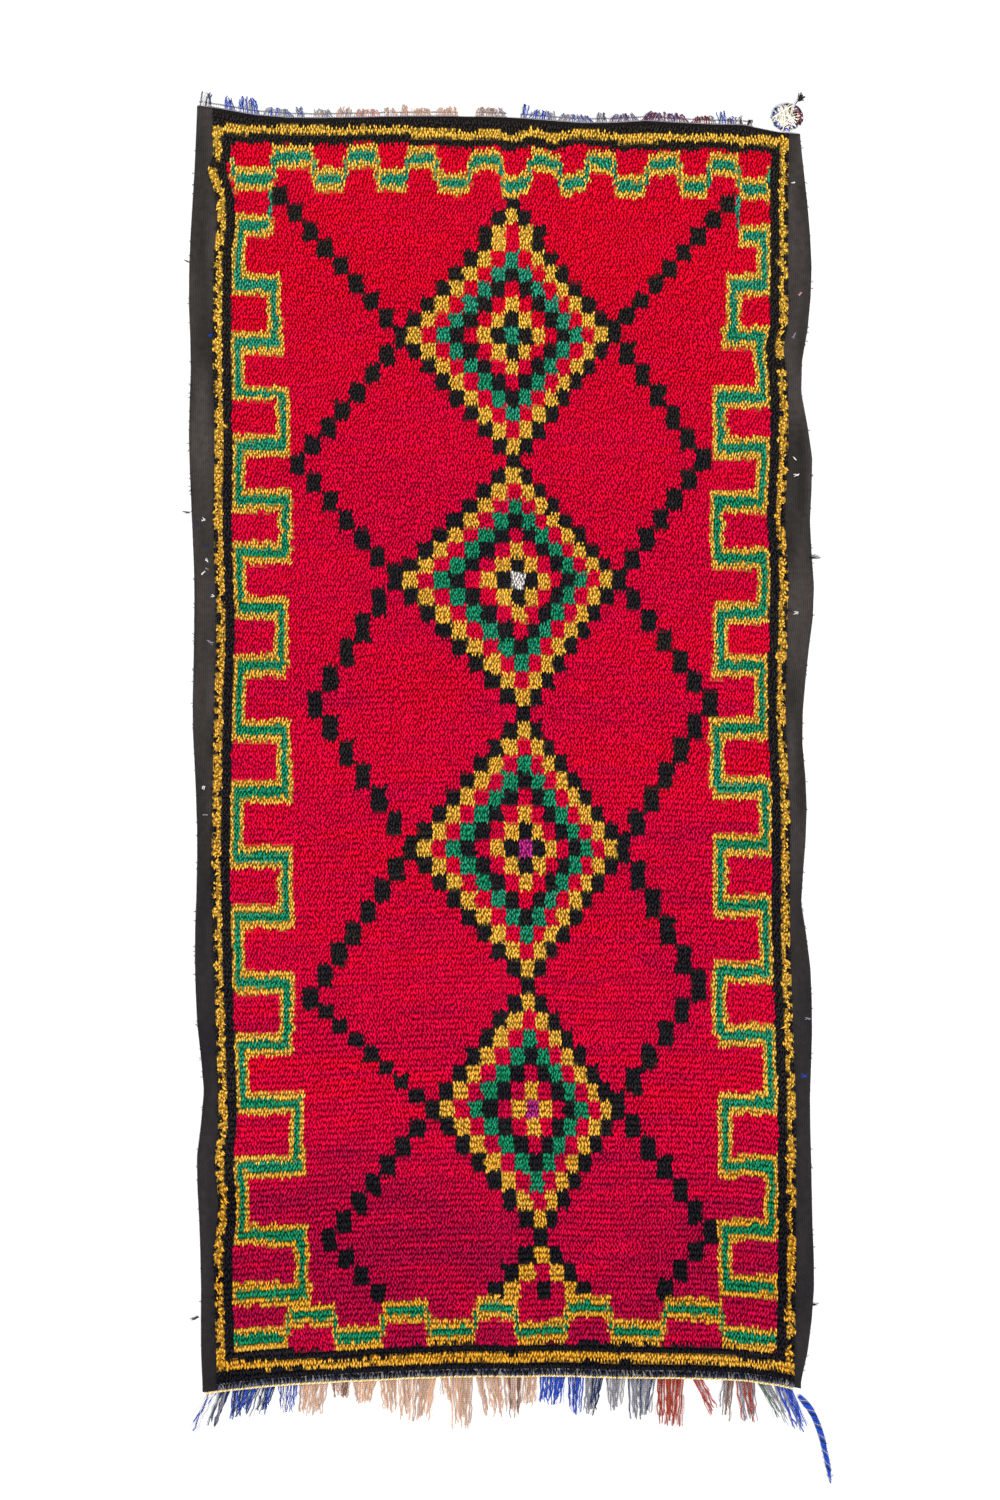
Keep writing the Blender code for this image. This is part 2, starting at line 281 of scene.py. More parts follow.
# Columns: along, middle of the left line, middle of the right line.
SIDE_LINES = (
    (1.478, -0.682, 0.676),
    (1.410, -0.682, 0.675),
    (1.386, -0.693, 0.675),
    (1.300, -0.671, 0.674),
    (1.160, -0.679, 0.674),
    (1.010, -0.681, 0.673),
    (0.950, -0.682, 0.663),
    (0.880, -0.680, 0.672),
    (0.710, -0.677, 0.674),
    (0.540, -0.679, 0.666),
    (0.420, -0.677, 0.674),
    (0.300, -0.672, 0.672),
    (0.086, -0.678, 0.668),
    (-0.130, -0.682, 0.677),
    (-0.310, -0.684, 0.678),
    (-0.480, -0.680, 0.679),
    (-0.730, -0.672, 0.688),
    (-0.900, -0.668, 0.693),
    (-1.000, -0.676, 0.693),
    (-1.100, -0.668, 0.693),
    (-1.230, -0.678, 0.693),
    (-1.490, -0.672, 0.689),
)
# Columns: across, middle of the near line, middle of the far line.
END_LINES = (
    (-0.690, -1.486, 1.478),
    (-0.485, -1.483, 1.475),
    (-0.389, -1.482, 1.475),
    (-0.317, -1.478, 1.475),
    (-0.245, -1.474, 1.474),
    (-0.149, -1.469, 1.469),
    (-0.077, -1.467, 1.464),
    (-0.036, -1.465, 1.469),
    (0.026, -1.470, 1.457),
    (0.067, -1.467, 1.470),
    (0.127, -1.465, 1.459),
    (0.199, -1.464, 1.468),
    (0.283, -1.466, 1.457),
    (0.355, -1.469, 1.457),
    (0.475, -1.471, 1.457),
    (0.583, -1.481, 1.452),
    (0.700, -1.493, 1.451),
)
LINE_GAPS = ((-1, 1.386, 1.404), (1, 0.906, 0.926))  # side, from, to: where a side line is missing


def side_line(y, side):
    return through(SIDE_LINES, 1 if side < 0 else 2, y)


def ragged(y, side, size, seed):
    """From -1 to 1: how far the fraying of a side line goes to one side at each place along it."""
    return 2 * patches(y * 0 + side, y, 1.0, size, seed) - 1


def near_line(x):
    return through(END_LINES, 1, x)


def far_line(x):
    return through(END_LINES, 2, x)


def paint_frame(yarn, x, y):
    """Black out to the edges, then the yellow lines at their distances, crossing at the corners."""
    inside = np.ones(x.shape, bool)
    for side in (-1, 1):
        inside &= side * (x - side_line(y, side)) < -SIDE_BAND
    inside &= y < far_line(x) - blend(*FAR_BAND, np.clip(x / CLOTH_WIDTH + 0.5, 0, 1))
    inside &= y > near_line(x) + NEAR_BAND
    yarn[~inside] = BLACK
    between_ends = (y < far_line(x) + LINE_HALF) & (y > near_line(x) - LINE_HALF)
    between_sides = (x > side_line(y, -1) - SIDE_LINE_HALF) & (x < side_line(y, 1) + SIDE_LINE_HALF)
    for side in (-1, 1):
        middle = side_line(y, side) + 0.0030 * ragged(y, side, 0.011, 11)
        half = SIDE_LINE_HALF * (0.92 + 0.42 * ragged(y, side, 0.008, 12))
        line = between_ends & (np.abs(x - middle) < half)
        for gap_side, start, end in LINE_GAPS:
            line &= ~((side == gap_side) & (y > start) & (y < end))
        yarn[line] = YELLOW
    for end_line in (near_line, far_line):
        yarn[between_sides & (np.abs(y - end_line(x)) < LINE_HALF)] = YELLOW


# %% The meanders: one green line bordered yellow that climbs each side
BAR_YELLOW, BAR_GREEN = 0.0280, 0.0112  # half heights of a bar's yellow and of its green
UPRIGHT_YELLOW, UPRIGHT_GREEN = 0.0178, 0.0070
OUTER_UPRIGHT = 0.046  # from the side line's middle to the uprights next to the frame
GREEN_INSET = 0.008
# Columns: left bar along, right bar along, left bar's inner end, right bar's inner end.
MEANDER = np.array((
    (1.250, 1.222, -0.550, 0.566),
    (1.106, 1.105, -0.528, 0.538),
    (0.966, 0.980, -0.523, 0.526),
    (0.844, 0.835, -0.509, 0.506),
    (0.718, 0.714, -0.511, 0.506),
    (0.588, 0.584, -0.502, 0.499),
    (0.463, 0.449, -0.504, 0.504),
    (0.331, 0.317, -0.511, 0.506),
    (0.192, 0.191, -0.516, 0.506),
    (0.036, 0.041, -0.505, 0.497),
    (-0.112, -0.101, -0.502, 0.503),
    (-0.268, -0.239, -0.502, 0.506),
    (-0.412, -0.385, -0.497, 0.506),
    (-0.570, -0.544, -0.499, 0.504),
    (-0.717, -0.694, -0.499, 0.518),
    (-0.858, -0.858, -0.474, 0.516),
    (-1.010, -1.009, -0.470, 0.518),
    (-1.173, -1.162, -0.463, 0.518),
    (-1.315, -1.296, -0.456, 0.521),
))


def paint_meander(yarn, x, y, side):
    """Yellow first and green over it: bars across at each row, and uprights that alternate out and in."""
    bars = MEANDER[:, 0 if side < 0 else 1]
    ends = MEANDER[:, 2 if side < 0 else 3]
    line = side_line(y, side)
    depth = side * (line - x)  # metres in from the frame line
    inner = side * (line - ends[:, None, None]) if x.ndim == 2 else side * (line - ends[:, None])
    for thread, half_bar, half_upright in (
        (YELLOW, BAR_YELLOW, UPRIGHT_YELLOW),
        (GREEN, BAR_GREEN, UPRIGHT_GREEN),
    ):
        start = SIDE_BAND + (GREEN_INSET if thread == GREEN else 0.0)
        for k, bar in enumerate(bars):
            turn = inner[k] - UPRIGHT_YELLOW
            thin = 0.62 if (k == 3 and side < 0) else 1.0
            across = (depth > start) & (depth < turn + half_upright)
            yarn[across & (np.abs(y - bar) < half_bar * thin)] = thread
            if k + 1 < len(bars):
                upright = OUTER_UPRIGHT if k % 2 == 0 else turn
                between = (y < bar) & (y > bars[k + 1])
                yarn[between & (np.abs(depth - upright) < half_upright)] = thread


# %% The stepped borders of the two ends
STEP_YELLOW, STEP_GREEN = 0.0075, 0.0030  # half widths of the thin uprights at the steps
FAR_STEPS = (-0.646, -0.548, -0.451, -0.376, -0.299, -0.227, -0.156, -0.078, 0.001, 0.067, 0.140,
             0.203, 0.272, 0.347, 0.426, 0.498, 0.569, 0.642)
FAR_UPPER, FAR_LOWER = 0.063, 0.117  # how far the two rows of bars lie below the far line
NEAR_STEPS = (-0.655, -0.515, -0.401, -0.286, -0.178, -0.065, 0.036, 0.154, 0.260, 0.388, 0.527, 0.667)
NEAR_UPPER, NEAR_LOWER = 0.118, 0.062  # how far they lie above the near line


def paint_steps(yarn, x, y, steps, upper, lower, first_upper):
    """Bars between the steps, alternately in the upper and the lower row, with thin uprights at the steps."""
    for thread, half_bar, half_step in ((YELLOW, BAR_YELLOW, STEP_YELLOW), (GREEN, BAR_GREEN, STEP_GREEN)):
        for k, (start, end) in enumerate(zip(steps, steps[1:])):
            row = upper if (k % 2 == 0) == first_upper else lower
            inset = GREEN_INSET if thread == GREEN else 0.0
            yarn[(x > start + inset) & (x < end - inset) & (np.abs(y - row) < half_bar)] = thread
        for step in steps:
            yarn[(np.abs(x - step) < half_step) & (y < upper) & (y > lower)] = thread


# %% Lozenges on the centre line and the chains of black blocks
# The lozenges' own centre line. Columns: along, across.
AXIS = (
    (1.303, 0.026),
    (0.984, 0.025),
    (0.682, 0.029),
    (0.398, 0.041),
    (0.077, 0.053),
    (-0.247, 0.058),
    (-0.574, 0.063),
    (-0.871, 0.075),
    (-1.178, 0.094),
    (-1.330, 0.103),
)
# Columns: middle along, step to the left, step to the right, step up, step down, extra height of the
# seventh row.
LOZENGES = (
    (0.984, 0.0336, 0.0304, 0.0366, 0.0378, 0.026),
    (0.398, 0.0372, 0.0296, 0.0354, 0.0402, 0.0),
    (-0.247, 0.0348, 0.0288, 0.0405, 0.0408, 0.0),
    (-0.871, 0.0346, 0.0290, 0.0425, 0.0437, 0.0),
    (-1.4755, 0.0384, 0.0312, 0.0425, 0.0425, 0.0),
)
WIDE = (BLACK, YELLOW, RED, BLACK, GREEN, RED, YELLOW, BLACK)
SMALL = (YELLOW, RED, BLACK, GREEN, RED, YELLOW, BLACK)
CUT = (BLACK, GREEN, BLACK, BLACK, RED, YELLOW, BLACK)
RINGS = ((GREEN, *WIDE), (WHITE, *WIDE), (PINK, *WIDE), (PINK, *SMALL), (RED, *CUT))
TALL_ROW = 6.5  # steps from a lozenge's middle to the foot of its seventh row

# Turning points of the two chains, from the far end. Columns: left x, left y, right x, right y.
CHAINS = (
    (-0.533, 1.320, 0.540, 1.298),
    (-0.240, 0.979, 0.264, 0.991),
    (-0.490, 0.674, 0.482, 0.686),
    (-0.257, 0.406, 0.278, 0.398),
    (-0.449, 0.098, 0.499, 0.103),
    (-0.218, -0.245, 0.288, -0.245),
    (-0.461, -0.605, 0.472, -0.578),
    (-0.168, -0.874, 0.276, -0.862),
    (-0.413, -1.186, 0.502, -1.166),
    (-0.298, -1.313, 0.391, -1.306),
)
BLOCK = 0.036  # width of one block
BLOCK_OVER = 1.08  # height of a block over its step along


def paint_lozenge(yarn, x, y, lozenge, rings):
    """Steps across plus steps along, both rounded, count out from the middle and choose the ring's yarn."""
    middle_y, left, right, up, down, extra = lozenge
    rise = y - middle_y
    rise = rise - np.clip(rise - TALL_ROW * up, 0.0, extra)
    aside = x - through(AXIS, 1, y)
    across = np.abs(np.round(aside / np.where(aside > 0, right, left)))
    steps = across + np.abs(np.round(rise / np.where(rise > 0, up, down)))
    for count, thread in enumerate(rings):
        yarn[steps == count] = thread


def paint_chain(yarn, x, y, turns):
    """Blocks at even steps along each leg, about one block's width apart, and each reaches the next."""
    for (from_x, from_y), (to_x, to_y) in zip(turns, turns[1:]):
        count = max(1, round(abs(to_x - from_x) / BLOCK))
        half = abs(to_y - from_y) / count / 2 * BLOCK_OVER
        for k in range(count + 1):
            at_x, at_y = blend(from_x, to_x, k / count), blend(from_y, to_y, k / count)
            yarn[(np.abs(x - at_x) < BLOCK / 2) & (np.abs(y - at_y) < half)] = BLACK


# %% The whole design as one function
DRIFT = 0.0065
THIN_LINES = ((-0.555, 1.265, 1.345), (0.566, 1.240, 1.320))  # across, from, to: thin green links at the top


def design(x, y):
    """The yarn of the knot at each place, as an index into YARNS: the red field, then each motif over it.
    Both coordinates first drift a little from row to row, as a hand-counted knot does."""
    drift_x = DRIFT * (patches(x, y, 0.045, 0.013, 13) - 0.5)
    drift_y = DRIFT * (patches(x, y, 0.016, 0.06, 14) - 0.5)
    x, y = x + drift_x, y + drift_y
    yarn = np.full(x.shape, RED)
    for column in (0, 2):
        paint_chain(yarn, x, y, [row[column:column + 2] for row in CHAINS])
    for lozenge, rings in zip(LOZENGES, RINGS):
        paint_lozenge(yarn, x, y, lozenge, rings)
    upper, lower = near_line(x) + NEAR_UPPER, near_line(x) + NEAR_LOWER
    yarn[y < upper + BAR_YELLOW * 0.8] = RED
    for side in (-1, 1):
        paint_meander(yarn, x, y, side)
    for across, start, end in THIN_LINES:
        yarn[(np.abs(x - across) < STEP_GREEN * 1.6) & (y > start) & (y < end)] = GREEN
    paint_steps(yarn, x, y, NEAR_STEPS, upper, lower, first_upper=False)
    upper, lower = far_line(x) - FAR_UPPER, far_line(x) - FAR_LOWER
    paint_steps(yarn, x, y, FAR_STEPS, upper, lower, first_upper=False)
    paint_frame(yarn, x, y)
    return yarn


sample_x, sample_y = np.meshgrid(np.linspace(-0.7, 0.7, 80), np.linspace(-1.5, 1.5, 160))
counts = np.bincount(design(sample_x, sample_y).ravel(), minlength=len(YARNS))
print("shares of the design:", {name: round(float(n / counts.sum()), 3) for name, n in zip(YARNS, counts)})

# %% [markdown]
# ## Dye lots and abrash
#
# No two hanks of red came out of the pot the same. The far end is a bright scarlet, the middle goes to
# crimson and the near third to raspberry, in streaks that follow the rows because one hank lasts a few
# rows. The eye reads these streaks as age and handwork, so each knot gets a dye value from 0 to 1: a
# slow curve along the rug, broad patches, and short runs inside each row.

# %% Colours, and the dye value of a place
# Each yarn's colours, from the dye value 0 to 1.
DYES = {
    "black": ("302c29", "262429", "1a191f"),
    "red": ("fb0430", "ec0044", "bc0646"),
    "yellow": ("fbc94e", "f6bd48", "eaaa30"),
    "green": ("34a585", "1b986c", "178c60"),
    "pink": ("e0409c", "c93290", "b02a80"),
    "white": ("f4f1ec", "e6e0dc", "d8d0cc"),
    "salmon": ("ff7d84", "f2606f", "ee5068"),
    "blue": ("2b4fb0", "24409c", "1a2c70"),
    "grey": ("9a9296", "7c7478", "5c555a"),
}
RAMPS = np.array([[hex_colour(text) for text in DYES[name]] for name in YARNS])
# Columns: along, dye value of the field.
ABRASH = (
    (1.50, 0.06),
    (1.05, 0.10),
    (0.80, 0.30),
    (0.50, 0.46),
    (0.25, 0.42),
    (0.05, 0.40),
    (-0.20, 0.42),
    (-0.45, 0.40),
    (-0.75, 0.44),
    (-0.95, 0.58),
    (-1.15, 0.78),
    (-1.45, 0.92),
)
PATCH_STRENGTH, STREAK_STRENGTH = 0.34, 0.50


def dye_at(x, y):
    """A slow curve along the rug, plus broad patches, plus streaks ten times as long as they are high."""
    patch = patches(x, y, 0.23, 0.11, 21) - 0.5
    streak = patches(x, y, 0.19, 0.017, 22) - 0.5
    fine = patches(x, y, 0.05, 0.014, 23) - 0.5
    strength = 0.55 + 0.45 * ease((0.9 - y) / 1.2)
    return np.clip(
        through(ABRASH, 1, y) + strength * (PATCH_STRENGTH * patch + STREAK_STRENGTH * (streak + fine * 0.5)),
        0.0, 1.0,
    )


def colour_of(yarn, dye):
    """The ramp of each yarn at its dye value: straight from the first colour to the second to the third."""
    low = (dye >= 0.5).astype(int)
    share = (dye * 2 - low)[..., None]
    return blend(RAMPS[yarn, low], RAMPS[yarn, low + 1], share)


print("dye at the far end and the near end:", dye_at(np.zeros(2), np.array([1.4, -1.3])).round(2))

# %% [markdown]
# ## Shared effects: wool fibre, plied yarn and flat weave
#
# Three finishes come up again and again, so each is one node group that gives only colours, values and
# heights. Wool is matt and slightly hairy. Plied yarn shows its twist as slanting ridges, found from the
# angle round the strand and the distance along it, and the materials paint shade into its grooves. Flat
# weave shows a rib for every warp thread and a finer line for every pass of the weft, with painted shade
# between them.

# %% Node helpers


def add_node(tree, kind, settings=None, **inputs):
    """One node. Settings are its own properties, and inputs are values or the sockets to link from."""
    node = tree.nodes.new(kind)
    for key, value in (settings or {}).items():
        setattr(node, key, value)
    for key, value in inputs.items():
        name = int(key[1:]) if key[0] == "n" and key[1:].isdigit() else key.replace("_", " ")
        socket = node.inputs[name]
        if isinstance(value, bpy.types.NodeSocket):
            tree.links.new(value, socket)
        else:
            socket.default_value = value
    return node


def maths(tree, operation, *values):
    """A Math node's result; numbers and sockets go in by order."""
    numbered = {f"n{i}": v for i, v in enumerate(values)}
    node = add_node(tree, "ShaderNodeMath", {"operation": operation}, **numbered)
    return node.outputs[0]


def mixed(tree, share, first, second, mode="MIX"):
    """A colour mix of two colours or sockets."""
    node = add_node(tree, "ShaderNodeMix", {"data_type": "RGBA", "blend_type": mode})
    for index, value in ((0, share), (6, first), (7, second)):
        if isinstance(value, bpy.types.NodeSocket):
            tree.links.new(value, node.inputs[index])
        else:
            node.inputs[index].default_value = value
    return node.outputs[2]


def new_group(name, inputs, outputs):
    """A shader node group with named sockets. Returns the tree, its input node and its output node."""
    tree = bpy.data.node_groups.new(name, "ShaderNodeTree")
    for label, kind, value in inputs:
        socket = tree.interface.new_socket(label, in_out="INPUT", socket_type=kind)
        if value is not None:
            socket.default_value = value
    for label, kind in outputs:
        tree.interface.new_socket(label, in_out="OUTPUT", socket_type=kind)
    return tree, tree.nodes.new("NodeGroupInput"), tree.nodes.new("NodeGroupOutput")


FLOAT, COLOUR, VECTOR = "NodeSocketFloat", "NodeSocketColor", "NodeSocketVector"


def wool_group():
    """Fine hairs: stretched noise lightens and darkens the dye and lifts the surface a little."""
    tree, given, result = new_group(
        "wool_fibre",
        [("Colour", COLOUR, None), ("Shade", FLOAT, 1.0), ("Place", VECTOR, None), ("Hair", FLOAT, 0.3)],
        [("Colour", COLOUR), ("Roughness", FLOAT), ("Height", FLOAT)],
    )
    stretch = add_node(tree, "ShaderNodeMapping", Vector=given.outputs["Place"], Scale=(900.0, 220.0, 500.0))
    hair = add_node(tree, "ShaderNodeTexNoise", Vector=stretch.outputs[0], Scale=1.0, Detail=2.0)
    lift = maths(tree, "MULTIPLY_ADD", maths(tree, "SUBTRACT", hair.outputs["Fac"], 0.5),
                 given.outputs["Hair"], 1.0)
    shade = maths(tree, "MULTIPLY", lift, given.outputs["Shade"])
    grey = add_node(tree, "ShaderNodeCombineColor", Red=shade, Green=shade, Blue=shade)
    colour = mixed(tree, 1.0, given.outputs["Colour"], grey.outputs[0], "MULTIPLY")
    rough = maths(tree, "MULTIPLY_ADD", hair.outputs["Fac"], -0.25, 1.0)
    tree.links.new(colour, result.inputs["Colour"])
    tree.links.new(rough, result.inputs["Roughness"])
    tree.links.new(hair.outputs["Fac"], result.inputs["Height"])
    return tree


def ply_group():
    """Twist: the sine of the distance along over the pitch, turned by the angle round the strand."""
    tree, given, result = new_group(
        "plied_yarn", [("Ring", VECTOR, None), ("Pitch", FLOAT, 0.005)], [("Ply", FLOAT)]
    )
    ring = add_node(tree, "ShaderNodeSeparateXYZ", Vector=given.outputs["Ring"])
    angle = maths(tree, "DIVIDE", maths(tree, "MULTIPLY", ring.outputs["Z"], 6.2832), given.outputs["Pitch"])
    first = maths(tree, "MULTIPLY", maths(tree, "SINE", angle), ring.outputs["X"])
    second = maths(tree, "MULTIPLY", maths(tree, "COSINE", angle), ring.outputs["Y"])
    ply = maths(tree, "MULTIPLY_ADD", maths(tree, "ADD", first, second), 0.5, 0.5)
    tree.links.new(ply, result.inputs["Ply"])
    return tree


def weave_group():
    """Ribs along the warp and finer lines along the weft, from metres in from the edge and metres along,
    with painted shade darkening the grooves between them.
    """
    tree, given, result = new_group(
        "flat_weave",
        [("Place", VECTOR, None), ("Rib", FLOAT, 0.0045), ("Weft", FLOAT, 0.0021)],
        [("Shade", FLOAT), ("Height", FLOAT)],
    )
    wander = add_node(tree, "ShaderNodeTexNoise", Vector=given.outputs["Place"], Scale=60.0, Detail=3.0)
    place = add_node(tree, "ShaderNodeSeparateXYZ", Vector=given.outputs["Place"])
    drift = maths(tree, "MULTIPLY", wander.outputs["Fac"], 7.0)

    def wave(metres, pitch):
        turns = maths(tree, "DIVIDE", maths(tree, "MULTIPLY", metres, 6.2832), pitch)
        return maths(tree, "MULTIPLY_ADD", maths(tree, "SINE", maths(tree, "ADD", turns, drift)), 0.5, 0.5)

    rib = wave(place.outputs["X"], given.outputs["Rib"])
    weft = wave(place.outputs["Y"], given.outputs["Weft"])
    height = maths(tree, "MULTIPLY_ADD", weft, 0.4, rib)
    worn = maths(tree, "MULTIPLY_ADD", wander.outputs["Fac"], 0.7, 0.45)
    # Painted shade: darker in the grooves between ribs and weft lines, times random worn patches.
    shade = maths(tree, "MULTIPLY", maths(tree, "MULTIPLY_ADD", height, 0.28, 0.72), worn)
    tree.links.new(shade, result.inputs["Shade"])
    tree.links.new(height, result.inputs["Height"])
    return tree


WOOL, PLY, WEAVE = wool_group(), ply_group(), weave_group()


def place_group(tree, group, **inputs):
    return add_node(tree, "ShaderNodeGroup", {"node_tree": group}, **inputs)


def new_material(name, sheen):
    """A matt cloth material with a little sheen, and its Principled shader."""
    material = bpy.data.materials.new(name)
    material.use_nodes = True
    shader = material.node_tree.nodes["Principled BSDF"]
    shader.inputs["Specular IOR Level"].default_value = 0.08
    shader.inputs["Sheen Weight"].default_value = sheen
    shader.inputs["Sheen Roughness"].default_value = 0.5
    return material, material.node_tree, shader


def read_attribute(tree, name):
    return add_node(tree, "ShaderNodeAttribute", {"attribute_name": name})


def finish_cloth(tree, shader, colour, roughness, height, depth):
    """Colour, roughness and a bump of that depth into the shader."""
    bump = add_node(tree, "ShaderNodeBump", Strength=0.6, Distance=depth, Height=height)
    tree.links.new(colour, shader.inputs["Base Color"])
    tree.links.new(roughness, shader.inputs["Roughness"])
    tree.links.new(bump.outputs[0], shader.inputs["Normal"])


# %% Materials


def pile_material(name, colours):
    """Knotted wool: a ramp over the dye value, times painted shade from the dark foot of a strand to its
    bright tip.
    """
    material, tree, shader = new_material(name, 0.0)
    ramp = add_node(tree, "ShaderNodeValToRGB", Fac=read_attribute(tree, "dye").outputs["Fac"])
    stops = ramp.color_ramp.elements
    stops.new(0.5)
    for stop, text in zip(stops, colours):
        stop.color = (*hex_colour(text), 1.0)
    place = add_node(tree, "ShaderNodeTexCoord").outputs["Object"]
    shade = read_attribute(tree, "tone_and_painted_shade").outputs["Fac"]
    wool = place_group(tree, WOOL, Colour=ramp.outputs[0], Shade=shade, Place=place, Hair=0.35)
    finish_cloth(
        tree, shader, wool.outputs["Colour"], wool.outputs["Roughness"], wool.outputs["Height"], 0.0004
    )
    return material


def yarn_material(name, pitch, strength):
    """Twisted yarn in its own colours: painted shade darkens the grooves of the ply, and its bump lifts the
    ridges.
    """
    material, tree, shader = new_material(name, 0.0)
    ply = place_group(tree, PLY, Ring=read_attribute(tree, "ring").outputs["Vector"], Pitch=pitch)
    # Painted shade in the grooves of the ply, later multiplied by the yarn's random tone.
    shade = maths(tree, "MULTIPLY_ADD", ply.outputs["Ply"], strength, 1.0 - strength * 0.6)
    tone_and_painted_shade = maths(tree, "MULTIPLY", shade, read_attribute(tree, "tone_and_painted_shade").outputs["Fac"])
    place = add_node(tree, "ShaderNodeTexCoord").outputs["Object"]
    colour = read_attribute(tree, "yarn_colour").outputs["Color"]
    wool = place_group(tree, WOOL, Colour=colour, Shade=tone_and_painted_shade, Place=place, Hair=0.4)
    finish_cloth(tree, shader, wool.outputs["Colour"], wool.outputs["Roughness"], ply.outputs["Ply"], 0.0008)
    return material


def ground_material():
    """The woven ground: its knots' colours flat between the ribs, and bare weave on the selvages, all with
    painted shade in the grooves of the weave; under the pile the colours come already darkened as painted
    shade.
    """
    material, tree, shader = new_material("woven_ground", 0.0)
    woven_at = read_attribute(tree, "weave").outputs["Vector"]
    weave = place_group(tree, WEAVE, Place=woven_at, Rib=0.0046, Weft=0.0023)
    place = add_node(tree, "ShaderNodeTexCoord").outputs["Object"]
    colour = read_attribute(tree, "yarn_colour").outputs["Color"]
    wool = place_group(tree, WOOL, Colour=colour, Shade=weave.outputs["Shade"], Place=place, Hair=0.5)
    finish_cloth(
        tree, shader, wool.outputs["Colour"], wool.outputs["Roughness"], weave.outputs["Height"], 0.0012
    )
    return material


print("node groups:", [group.name for group in bpy.data.node_groups])

# %% [markdown]
# ## Meshes from arrays
#
# Every piece is built the same way: points, the corners of its faces, how many corners each face has, a
# UV cell for each strand, and values that ride on the points. Strands of pile are spikes with three
# sides and seven points. Cords and fringe are tubes. Both are one pattern of faces repeated for all the
# strands at once.

# %% Build meshes, spikes and tubes from arrays


def cells(count):
    """The corner and size of one square of the UV map for each of count strands, in a square grid."""
    side = int(np.ceil(np.sqrt(count)))
    index = np.arange(count)
    return np.stack([index % side, index // side], 1) / side, 1.0 / side


def repeated(pattern_corners, pattern_sizes, pattern_uv, points_each, count):
    """One strand's faces and UVs repeated for count strands, each strand with its own points and cell."""
    corners = (pattern_corners[None] + np.arange(count)[:, None] * points_each).ravel()
    sizes = np.tile(pattern_sizes, count)
    corner, size = cells(count)
    uv = (corner[:, None] + (0.06 + 0.88 * pattern_uv[None]) * size).reshape(-1, 2)
    return corners, sizes, uv


def make_piece(name, shape, material, node, smooth=True):
    """A mesh object from a shape, riding on the rug's one body and standing for a solid of the frame."""
    mesh = bpy.data.meshes.new(name)
    points, corners, sizes = shape["points"], shape["corners"], shape["sizes"]
    mesh.vertices.add(len(points))
    mesh.vertices.foreach_set("co", points.astype(np.float32).ravel())
    mesh.loops.add(len(corners))
    mesh.loops.foreach_set("vertex_index", corners.astype(np.int32))
    mesh.polygons.add(len(sizes))
    mesh.polygons.foreach_set("loop_start", (np.cumsum(sizes) - sizes).astype(np.int32))
    mesh.polygons.foreach_set("use_smooth", np.full(len(sizes), smooth))
    mesh.update(calc_edges=True)
    mesh.uv_layers.new(name="OFBake").data.foreach_set("uv", shape["uv"].astype(np.float32).ravel())
    for label, values in shape["values"].items():
        width = 1 if values.ndim == 1 else values.shape[1]
        kind, key = {1: ("FLOAT", "value"), 3: ("FLOAT_VECTOR", "vector"), 4: ("FLOAT_COLOR", "color")}[width]
        domain = "FACE" if len(values) == len(sizes) != len(points) else "POINT"
        attribute = mesh.attributes.new(label, kind, domain)
        attribute.data.foreach_set(key, values.astype(np.float32).ravel())
    mesh.materials.append(material)
    piece = bpy.data.objects.new(name, mesh)
    bpy.context.scene.collection.objects.link(piece)
    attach(piece, "root")
    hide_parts(node)
    print(f"{name}: {int((sizes - 2).sum())} triangles")
    return piece


def joined(shapes):
    """Several shapes as one: their points and faces in a row, and a strip of the UV map for each."""
    first = np.cumsum([0] + [len(shape["points"]) for shape in shapes])
    together = {
        "points": np.concatenate([shape["points"] for shape in shapes]),
        "corners": np.concatenate([shape["corners"] + start for shape, start in zip(shapes, first)]),
        "sizes": np.concatenate([shape["sizes"] for shape in shapes]),
        "values": {},
    }
    areas = np.sqrt([len(shape["sizes"]) for shape in shapes])
    edges = np.concatenate([[0.0], np.cumsum(areas) / areas.sum()])
    together["uv"] = np.concatenate([
        shape["uv"] * (1.0, high - low) + (0.0, low) for shape, low, high in zip(shapes, edges, edges[1:])
    ])
    for label in shapes[0]["values"]:
        together["values"][label] = np.concatenate([shape["values"][label] for shape in shapes])
    return together


